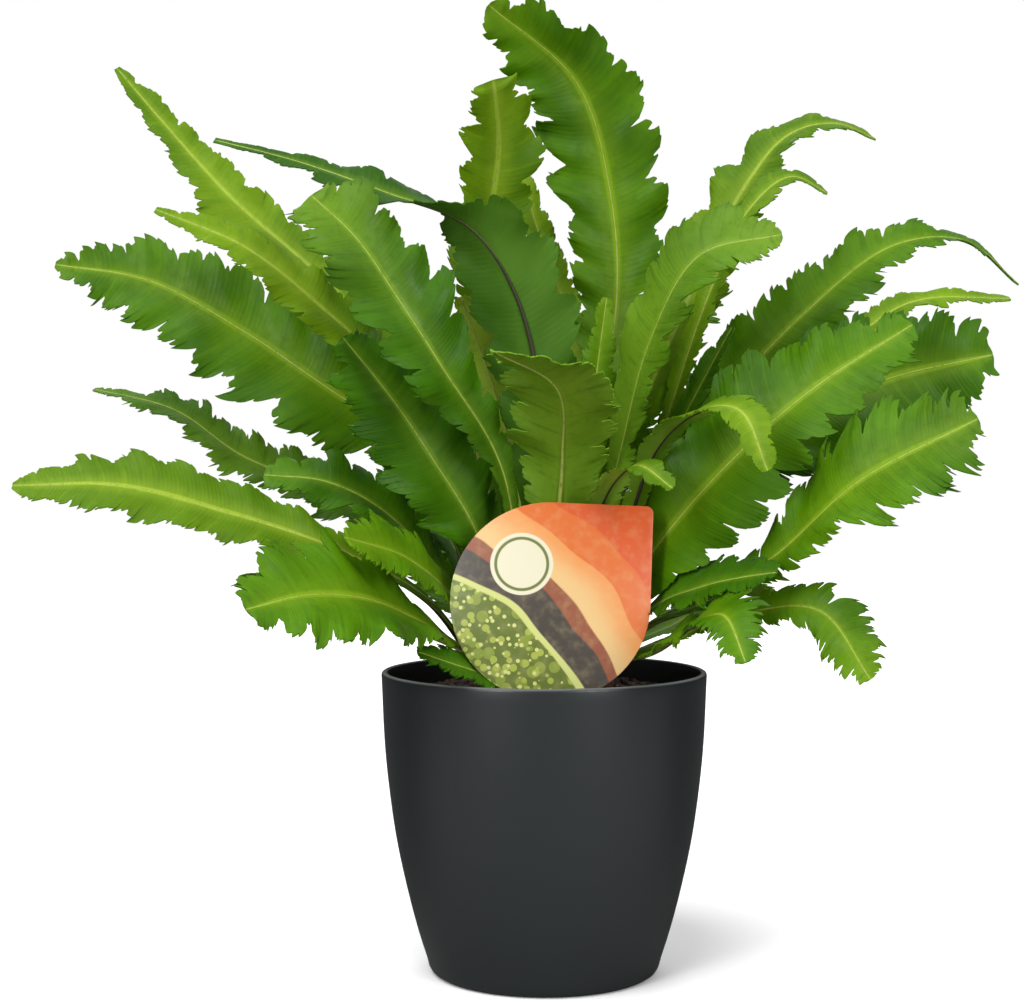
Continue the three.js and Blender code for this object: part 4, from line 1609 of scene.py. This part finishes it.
@dataclass
class Frond:
    """One frond: a thin lobed blade with pleated side veins, and its stalk and midrib.

    Its midrib, width, roll and large lobes are the model's. The small lobes, the teeth, the
    slits that part the margin into fingers, the ruffle and the veins are added here. Its sizes
    are in millimetres, and its cells are counted along the blade but for `across`.

    Attributes:
        plan: The frond as the model has it.
        number: Its place in the model's order, from 1, which seeds its random numbers.
        crown: What it grows from.
        stipe: Half the blade's width along the stalk.
        stalk_share: The share of the length at which the lobes begin.
        sections: How many sections the model has from there to the tip.
        tips: Least and greatest reach of a large lobe's tip, against the half width.
        notches: The same for the notches between them.
        socket: How deep the stalk stands in the crown, with a gap under its foot.
        tip: Half the blade's width at its very tip.
        pleat: How far the side veins are folded up and down.
        slant: How far ahead they run, against their length.
        tooth_lean: How far the small teeth lean ahead; tooth_droop is how far they bend down.
        full_teeth: The half width that has full teeth and slits.
        fold: How steeply the two halves rise from the midrib; crest is how far each is arched.
        ripple: Height of the ruffle at the margin.
        puff: Height of the bulges between the veins; puff_length is how far apart they are.
        full_ruffle: The half width that is fully ruffled and puffed.
        rib_half_width: The midrib's half width at its foot and at its tip.
        rib_depth: How far it stands out below the blade, at its foot and at its tip.
    """

    plan: FrondPlan
    number: int
    crown: Crown
    stipe: float = 2.1
    stalk_share: float = 0.2
    sections: int = 22
    tips: Pair = (0.9, 1.14)
    notches: Pair = (0.55, 0.78)
    cells: int = 15
    stalk_cells: int = 14
    across: int = 14
    thickness: float = 0.5
    socket: float = 9.0
    gap: float = 0.3
    tip: float = 1.5
    vein_cells: float = 3.0
    pleat: float = 0.06
    slant: float = 0.36
    tooth_depth: float = 1.5
    tooth_lean: float = 0.8
    tooth_droop: float = 0.5
    slit_depth: float = 3.6
    full_teeth: float = 11.0
    fold: float = 0.12
    crest: float = 0.06
    ripple: float = 2.2
    puff: float = 2.4
    puff_length: float = 13.0
    full_ruffle: float = 16.0
    rib_steps: int = 110
    rib_sides: int = 10
    rib_half_width: Pair = (2.0, 0.35)
    rib_depth: Pair = (2.2, 0.3)

    def __post_init__(self) -> None:
        """Finds the midrib, and draws the model's random numbers and the margin's own."""
        plan = self.plan
        lean = math.radians(6.0 + plan.ring * 1.3)
        turn = math.radians(plan.azimuth)
        x, y = math.cos(turn), math.sin(turn)
        rise = Vector((x * math.sin(lean), y * math.sin(lean), math.cos(lean)))
        surface = Vector((plan.ring * x, plan.ring * y, self.crown.top(plan.ring)))
        root = [surface - rise * (self.socket - self.gap), surface, surface + rise * 6.0]
        self.midrib = Midrib(root + [Vector(point) for point in plan.way])
        self.collar = (self.socket + 2.0) / self.midrib.length
        count = self._sample()
        self._cut(count, random.Random(self.number * 31 + 5))

    def _sample(self) -> int:
        """Draws the model's numbers for the wave of the blade and for each edge's lobes.

        Returns:
            How many sections there are.
        """
        stream = SeedStream(self.number * 7919 + 17)
        self.wave = 0.05 + 0.06 * stream.draw()
        self.phase = stream.draw() * math.tau
        begin = self.stalk_share
        shares = [0.0, self.collar, mix(self.collar, begin, 0.5), begin]
        shares += [mix(begin, 1.0, i / self.sections) for i in range(1, self.sections + 1)]
        self.edges: dict[int, list[Section]] = {hand: [] for hand in EDGES}
        for place, share in enumerate(shares):
            for hand in EDGES:
                is_tip = (place - 3 + (1 if hand > 0 else 0)) % 2 == 0
                reach = mix(*(self.tips if is_tip else self.notches), stream.draw())
                if is_tip:
                    stream.draw()
                self.edges[hand].append(Section(share, reach, is_tip))
        return len(shares)

    def _cut(self, count: int, dice: random.Random) -> None:
        """Draws the finer cut of each edge: its lobes' roundness, ruffle, teeth and slits.

        Args:
            count: How many sections there are.
            dice: Where the random numbers come from.
        """
        roundness = (0.28, 0.4, 0.7, 1.0)
        self.cuts = {hand: [dice.choice(roundness) for _ in range(count)] for hand in EDGES}
        self.ruffle = {
            hand: (dice.uniform(0.0, math.tau), dice.uniform(20.0, 32.0)) for hand in EDGES
        }
        self.teeth = {hand: self._serrate(dice) for hand in EDGES}
        self.slits = {hand: self._slit(dice) for hand in EDGES}

    @property
    def row_count(self) -> int:
        """How many rows of points the blade has."""
        return self.stalk_cells + self.sections * self.cells + 1

    def _serrate(self, dice: random.Random) -> list[float]:
        """The small teeth of one edge, which lean to the tip.

        Args:
            dice: Where the random numbers come from.

        Returns:
            For each row of points, how far the edge stands out there, from 0 to about 1.5.
        """
        heights: list[float] = []
        while len(heights) < self.row_count:
            cells = dice.choice((3, 4, 4, 5, 6, 8))
            size = dice.uniform(0.35, 1.0) * cells / 5.0
            heights += [size * (k / (cells - 1)) ** 0.8 for k in range(cells)]
        return heights[: self.row_count]

    def _slit(self, dice: random.Random) -> list[float]:
        """The narrow slits that part the margin into fingers, for one edge.

        Args:
            dice: Where the random numbers come from.

        Returns:
            For each row of points, how far the edge stands back there, from 0 to 1.
        """
        depths: list[float] = []
        while len(depths) < self.row_count:
            deep = dice.uniform(0.3, 1.0)
            depths += [0.0] * dice.randint(6, 18) + [deep * 0.25, deep * 0.8, deep, deep * 0.1]
        return depths[: self.row_count]

    def half_width(self, share: float) -> float:
        """Half the blade's width without its lobes at a share of the length, in millimetres.

        Args:
            share: The share.

        Returns:
            The half width.
        """
        plan = self.plan
        full = plan.width / 2.0
        if share < plan.widest:
            step = clamp((share - 0.06) / (plan.widest - 0.06))
            return mix(self.stipe, full, smooth(step**plan.swell))
        fall = (share - plan.widest) / (1.0 - plan.widest)
        return mix(self.tip, full, max(0.0, 1.0 - fall**1.7) ** plan.taper)

    def lobed(self, share: float) -> float:
        """How much of its lobes the blade has at a share of the length.

        Args:
            share: The share.

        Returns:
            From 0 to 1.
        """
        begun = smooth(clamp((share - self.stalk_share) / 0.2))
        return begun * smooth(clamp((1.0 - share) / 0.02))

    def reach(self, hand: int, share: float) -> float:
        """How far the lobes of an edge stand out at a share of the length.

        Args:
            hand: -1 or 1 for the edge.
            share: The share of the length.

        Returns:
            Its reach against the half width.
        """
        edge = self.edges[hand]
        i = min(max(bisect.bisect_right([s.share for s in edge], share) - 1, 0), len(edge) - 2)
        here, there = edge[i], edge[i + 1]
        step = clamp((share - here.share) / (there.share - here.share))
        quarter = math.pi / 2.0
        if there.is_tip:
            large = mix(here.reach, there.reach, math.sin(step * quarter) ** self.cuts[hand][i])
        else:
            fall = math.cos(step * quarter) ** self.cuts[hand][i + 1]
            large = mix(here.reach, there.reach, 1.0 - fall)
        return mix(1.0, large, self.lobed(share) * self.plan.depth)

    def frame(self, share: float) -> tuple[Vector, Vector, Vector]:
        """The directions along the blade, towards its second edge, and out of its upper face.

        Args:
            share: The share of the length.

        Returns:
            The three directions, each of length 1.
        """
        along = self.midrib.along(share)
        facing = math.radians(self.plan.facing)
        across = Vector((-math.sin(facing), math.cos(facing), 0.0))
        across = (across - along * across.dot(along)).normalized()
        upper = along.cross(across)
        roll = self.plan.roll
        step = min(share * (len(roll) - 1), len(roll) - 1.001)
        place = int(step)
        turn = math.radians(mix(roll[place], roll[place + 1], smooth(step - place)))
        side = across * math.cos(turn) + upper * math.sin(turn)
        return along, side, along.cross(side)

    def _rows(self) -> list[Row]:
        """The rows of the blade's points: closely set over the lobes, and wider on the stalk.

        Returns:
            The rows, from the stalk to the tip.
        """
        begin, count = self.stalk_share, self.sections * self.cells
        shares = [mix(self.collar, begin, i / self.stalk_cells) for i in range(self.stalk_cells)]
        shares += [mix(begin, 1.0, i / count) for i in range(count + 1)]
        rows = []
        for place, share in enumerate(shares):
            half, lobed = self.half_width(share), self.lobed(share)
            toothed = min(1.0, half / self.full_teeth) * lobed
            line = (self.midrib.at(share), *self.frame(share))
            rows.append(Row(place, share, *line, half, lobed, toothed))
        return rows

    def _out(self, row: Row, hand: int, share_out: float) -> float:
        """How far out a point of the blade lies, with its lobe, tooth and slit.

        Args:
            row: The point's row.
            hand: -1 or 1 for the edge.
            share_out: The point's share of the way from the midrib to the edge.

        Returns:
            Its distance from the midrib, against the half width.
        """
        tooth = self.teeth[hand][row.place] - 0.35
        depth = self.tooth_depth * self.plan.cut * row.toothed * tooth
        slit = self.slits[hand][row.place] * self.slit_depth * self.plan.cut * row.toothed
        reach = self.reach(hand, row.share) + depth / row.half
        return share_out * reach - slit / row.half * share_out**3

    def _bulge(self, row: Row, hand: int, out: float) -> float:
        """How far the blade is puffed up or down between its veins, in millimetres.

        Args:
            row: The point's row.
            hand: -1 or 1 for the edge.
            out: The point's distance from the midrib, against the half width.

        Returns:
            The height.
        """
        along = row.share * self.midrib.length - out * row.half * self.slant
        spot = Vector((along / self.puff_length, out * 0.9 + hand * 5.0, self.number * 3.7))
        return noise.noise(spot) * self.puff * math.sin(min(out, 1.0) * math.pi * 0.6)

    def _lift(self, row: Row, hand: int, out: float) -> float:
        """How far a point of the blade is lifted off the plane of its row.

        Args:
            row: The point's row.
            hand: -1 or 1 for the edge.
            out: Its distance from the midrib, against the half width.

        Returns:
            The lift, in millimetres.
        """
        lobed, ruffled = row.lobed, self.plan.ruffled
        wide = min(1.0, row.half / self.full_ruffle)
        arch = math.sin(min(out, 1.0) * math.pi)
        section = (row.share - self.stalk_share) / (1.0 - self.stalk_share) * self.sections
        fold = (self.fold + self.wave * math.sin(self.phase + hand + section * 1.1)) * lobed
        start, length = self.ruffle[hand]
        ripple = math.sin(start + row.share * self.midrib.length / length * math.tau)
        pleat = abs((row.place / self.vein_cells) % 1.0 - 0.5) * 2.0 - 0.5
        lift = row.half * out * fold
        lift += ripple * wide * self.ripple * out**2.2 * lobed * ruffled
        lift -= self.teeth[hand][row.place] * self.tooth_droop * out**6 * row.toothed
        lift += row.half * self.crest * arch * lobed
        lift += pleat * self.pleat * arch * lobed
        lift += self._bulge(row, hand, out) * wide * lobed * ruffled
        return lift

    def _blade(self) -> Piece:
        """The lobed blade as a thin sheet.

        Returns:
            The sheet.
        """
        rows = self._rows()
        last = len(rows) - 1

        def place(x: float, y: float) -> tuple[Vector, Pair]:
            """Where a grid point goes on the blade.

            Args:
                x: Across the blade, from -1 to 1.
                y: Along it, from -1 to 1.

            Returns:
                Its place in metres, and its UV.
            """
            row = rows[round((y + 1.0) / 2.0 * last)]
            hand = -1 if x > 0.0 else 1
            out = self._out(row, hand, abs(x) ** 0.85)
            lean = self.teeth[hand][row.place] * self.tooth_lean * out**4 * row.toothed
            ahead = self.slant * row.half * out**1.5 * row.lobed + lean
            spot = row.centre + row.side * (hand * row.half * out) + row.along * ahead
            spot += row.face * self._lift(row, hand, out)
            return spot * MM, (row.place / self.vein_cells, 0.5 + 0.44 * hand * out)

        return Bench.grid(f"{self.plan.name}_blade", self.across, last, place)

    def _rib(self) -> Piece:
        """The stalk and midrib: an oval rod that thins out towards the tip.

        Returns:
            The closed rod.
        """
        steps = self.rib_steps
        shares = [i / steps for i in range(steps + 1)]
        frames = [(self.midrib.at(share), *self.frame(share)) for share in shares]
        turn = 0.5 if self.plan.twisted else 0.0

        def place(x: float, y: float) -> tuple[Vector, Pair]:
            """Where a grid point goes on the rod.

            Args:
                x: Round the rod, from -1 to 1.
                y: Along it, from -1 to 1.

            Returns:
                Its place in metres, and its UV.
            """
            i = round((y + 1.0) / 2.0 * steps)
            centre, _, side, face = frames[i]
            angle = x * math.pi
            depth = mix(*self.rib_depth, smooth(clamp(shares[i] * 1.4)))
            wide = mix(*self.rib_half_width, smooth(clamp(shares[i] * 1.3)))
            close = 0.6 if i in (0, steps) else 1.0
            tall = (depth / 2.0 + 0.45) * close
            spot = centre + side * (wide * close * math.sin(angle))
            spot += face * (tall * math.cos(angle) - depth / 2.0)
            return spot * MM, ((x + 1.0) / 2.0 + turn, shares[i])

        rib = Bench.grid(f"{self.plan.name}_rib", self.rib_sides, steps, place)
        Bench.close(rib)
        return rib

    def _tone(self, piece: Piece) -> None:
        """Writes how light or dark the frond is into the mesh.

        The tone drifts along the frond, and is lighter at the old tip and at the young foot.

        Args:
            piece: The frond.
        """
        layer = piece.data.attributes.new("tone", "FLOAT", "POINT")
        tip = Vector(self.plan.way[-1]) * MM
        foot = Vector((0.0, 0.0, self.crown.seat + self.crown.rise)) * MM
        own = Vector((self.number, 0.0, 0.0))
        tones = []
        for point in piece.data.vertices:
            drift = noise.noise(point.co * 14.0 + own) * 0.8
            old = 0.35 * clamp(1.0 - (point.co - tip).length / 0.03)
            young = 0.7 * clamp(1.3 - (point.co - foot).length / 0.075)
            tones.append(max(-1.0, min(1.0, self.plan.tone + drift * 0.7 + old + young)))
        layer.data.foreach_set("value", tones)

    def build(self, upper: Material, lower: Material, rib: Material) -> Piece:
        """Makes and dresses the frond.

        Args:
            upper: Finish of the blade's upper side.
            lower: Finish of its underside.
            rib: Finish of the stalk and midrib.

        Returns:
            The frond.
        """
        blade = self._blade()
        for finish in (lower, upper) if self.plan.twisted else (upper, lower):
            blade.data.materials.append(finish)
        Bench.thicken(blade, self.thickness * MM)
        Bench.smooth(blade, 50.0)
        rod = self._rib()
        Bench.dress(rod, rib, 80.0)
        frond = Bench.join(f"fern_{self.plan.name}", [blade, rod])
        self._tone(frond)
        return Bench.fit(frond, self.plan.green.value, f"frond_{self.plan.name}")


@dataclass
class FernLeaves:
    """All the fronds, dressed in the three greens."""

    crown: Crown
    finishes: tuple[LeafFinish, ...] = LEAF_FINISHES
    rib: RibFinish = field(default_factory=RibFinish)

    def build(self) -> list[Piece]:
        """Makes every frond in the model's order.

        Returns:
            The fronds.
        """
        uppers = {finish.green: finish.upper() for finish in self.finishes}
        lowers = {finish.green: finish.lower() for finish in self.finishes}
        rib = self.rib.material()
        fronds = []
        for place, plan in enumerate(FRONDS):
            frond = Frond(plan, place + 1, self.crown)
            fronds.append(frond.build(uppers[plan.green], lowers[plan.green], rib))
        return fronds


# ---------------------------------------------------------------- floor, light and camera


@dataclass(frozen=True)
class Lamp:
    """One soft rectangular light.

    Attributes:
        name: Its name.
        place: Where it stands, in metres.
        size: Its width and height, in metres.
        power: In watts.
        mirrored: False for a light that shines on the object but isn't seen in its gloss.
    """

    name: str
    place: Point
    size: Pair
    power: float
    mirrored: bool = True


@dataclass
class Studio:
    """The pale floor, the soft lights and the camera at the picture's viewing angle.

    Its sizes are in metres, but for the camera's pitch in degrees and its lens in millimetres.
    `floor_white` is how bright the floor is seen, and `bounce` and `bounce_back` how much light
    it throws back in front and behind. A sun's first size is its angle in radians.
    """

    aim: Point = (0.0, 0.0, 0.2)
    floor_size: float = 8.0
    floor_white: Pair = (0.62, 0.63)
    bounce: float = 0.28
    bounce_back: float = 0.06
    glow: float = 0.1
    eye: Point = (-0.0139, -0.83, 0.22)
    pitch: float = 1.1
    lens: float = 67.25
    backdrop: float = 1.0
    sky_low: float = 0.05
    sky_high: float = 1.0
    sky_front: float = 1.2
    sky_back: float = 0.8
    lamps: tuple[Lamp, ...] = (
        Lamp("front_left", (-1.2, -1.75, 0.9), (0.4, 1.1), 23.0),
        Lamp("front_right", (1.2, -1.75, 0.9), (0.4, 1.1), 21.0),
        Lamp("back", (0.3, 2.2, 1.9), (1.6, 1.2), 36.0, mirrored=False),
    )
    sun: Lamp = Lamp("sun", (-0.6, -0.7, 1.7), (0.8, 0.8), 1.12)
    floor_sun: Lamp = Lamp("floor_sun", (-0.3, -0.5, 1.3), (0.5, 0.5), 2.6)

    def _floor(self) -> Piece:
        """A plain pale floor. It throws back less light than it shows.

        Returns:
            The floor.
        """
        floor = Bench.add("floor", bpy.ops.mesh.primitive_plane_add, size=self.floor_size)
        made = Recipe("floor_paint", 0.9, Specular_IOR_Level=0.0, Emission_Color=WHITE)
        place = made.place()
        low, high = self.floor_white
        shown = made.blend(made.band(made.noise(place, 3.0), 0.3, 0.7), (low,) * 3, (high,) * 3)
        _, depth, _ = made.parts(place)
        behind = made.band(depth, -0.15, 0.1)
        thrown = made.blend(behind, (self.bounce,) * 3, (self.bounce_back,) * 3)
        seen = made.node("ShaderNodeLightPath").outputs["Is Camera Ray"]
        made.paint(made.blend(seen, thrown, shown))
        made.fill(made.shader.inputs["Emission Strength"], made.sum("MULTIPLY", seen, self.glow))
        floor.data.materials.append(made.material)
        return floor

    def _world(self, world: bpy.types.World) -> None:
        """A white backdrop that lights the object from above like one large soft box.

        Args:
            world: The scene's world.
        """
        made = Graph(world)
        sky = world.node_tree.nodes["Background"]
        sky.inputs["Color"].default_value = WHITE
        _, back, up = made.parts(made.node("ShaderNodeTexCoord").outputs["Generated"])
        height = made.band(up, 0.15, 0.7, self.sky_low, self.sky_high)
        front = made.band(back, -0.6, 0.6, self.sky_front, self.sky_back)
        dome = made.sum("MULTIPLY", height, front)
        seen = made.node("ShaderNodeLightPath").outputs["Is Camera Ray"]
        made.fill(sky.inputs["Strength"], made.band(seen, 0.0, 1.0, dome, self.backdrop))

    def _light(self, lamp: Lamp, kind: str) -> Piece:
        """Hangs one light and turns it to the object.

        Args:
            lamp: The light.
            kind: AREA or SUN.

        Returns:
            The light.
        """
        data = bpy.data.lights.new(lamp.name, kind)
        if kind == "AREA":
            data.shape = "RECTANGLE"
            data.size, data.size_y = lamp.size
        else:
            data.angle = lamp.size[0]
        data.energy = lamp.power
        light = bpy.data.objects.new(lamp.name, data)
        light.visible_glossy = lamp.mirrored
        light.location = lamp.place
        sight = Vector(self.aim) - Vector(lamp.place)
        light.rotation_euler = sight.to_track_quat("-Z", "Y").to_euler()
        bpy.context.scene.collection.objects.link(light)
        return light

    def _camera(self) -> None:
        """Sets the camera."""
        data = bpy.data.cameras.new("camera")
        data.lens = self.lens
        data.sensor_fit = "HORIZONTAL"
        data.sensor_width = 36.0
        camera = bpy.data.objects.new("camera", data)
        camera.location = self.eye
        camera.rotation_euler = (math.radians(90.0 - self.pitch), 0.0, 0.0)
        bpy.context.scene.collection.objects.link(camera)
        bpy.context.scene.camera = camera

    def _shine(self, floor: Piece, shade_from: Piece) -> None:
        """Shares the sun out: one for the object, and one for the floor that only the pot shades.

        Args:
            floor: The floor.
            shade_from: What throws its shadow on the floor.
        """
        groups = {name: bpy.data.collections.new(name) for name in ("off_floor", "floor", "pot")}
        groups["off_floor"].objects.link(floor)
        groups["floor"].objects.link(floor)
        groups["pot"].objects.link(shade_from)
        groups["off_floor"].collection_objects[0].light_linking.link_state = "EXCLUDE"
        links = self._light(self.sun, "SUN").light_linking
        links.receiver_collection = groups["off_floor"]
        links = self._light(self.floor_sun, "SUN").light_linking
        links.receiver_collection = groups["floor"]
        links.blocker_collection = groups["pot"]

    def build(self, shade_from: Piece) -> None:
        """Sets the whole studio up.

        Args:
            shade_from: What throws its shadow on the floor.
        """
        scene = bpy.context.scene
        scene.view_settings.view_transform = "Standard"
        scene.world = scene.world or bpy.data.worlds.new("world")
        self._world(scene.world)
        for lamp in self.lamps:
            self._light(lamp, "AREA")
        self._shine(self._floor(), shade_from)
        self._camera()


def main() -> None:
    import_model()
    cover = CoverPot()
    pot = cover.build()
    Studio().build(shade_from=pot)
    soil = PottingSoil(cover).build()
    crown = Crown()
    rootstock = crown.build()
    card = PlantCard().build()
    for piece in (pot, *soil, *rootstock, card, *FernLeaves(crown).build()):
        LOG.info("%s: %d faces", piece.name, len(piece.data.polygons))
    Bench.clear()


if __name__ == "__main__":
    logging.basicConfig(level=logging.INFO, format="%(name)s: %(message)s")
    main()
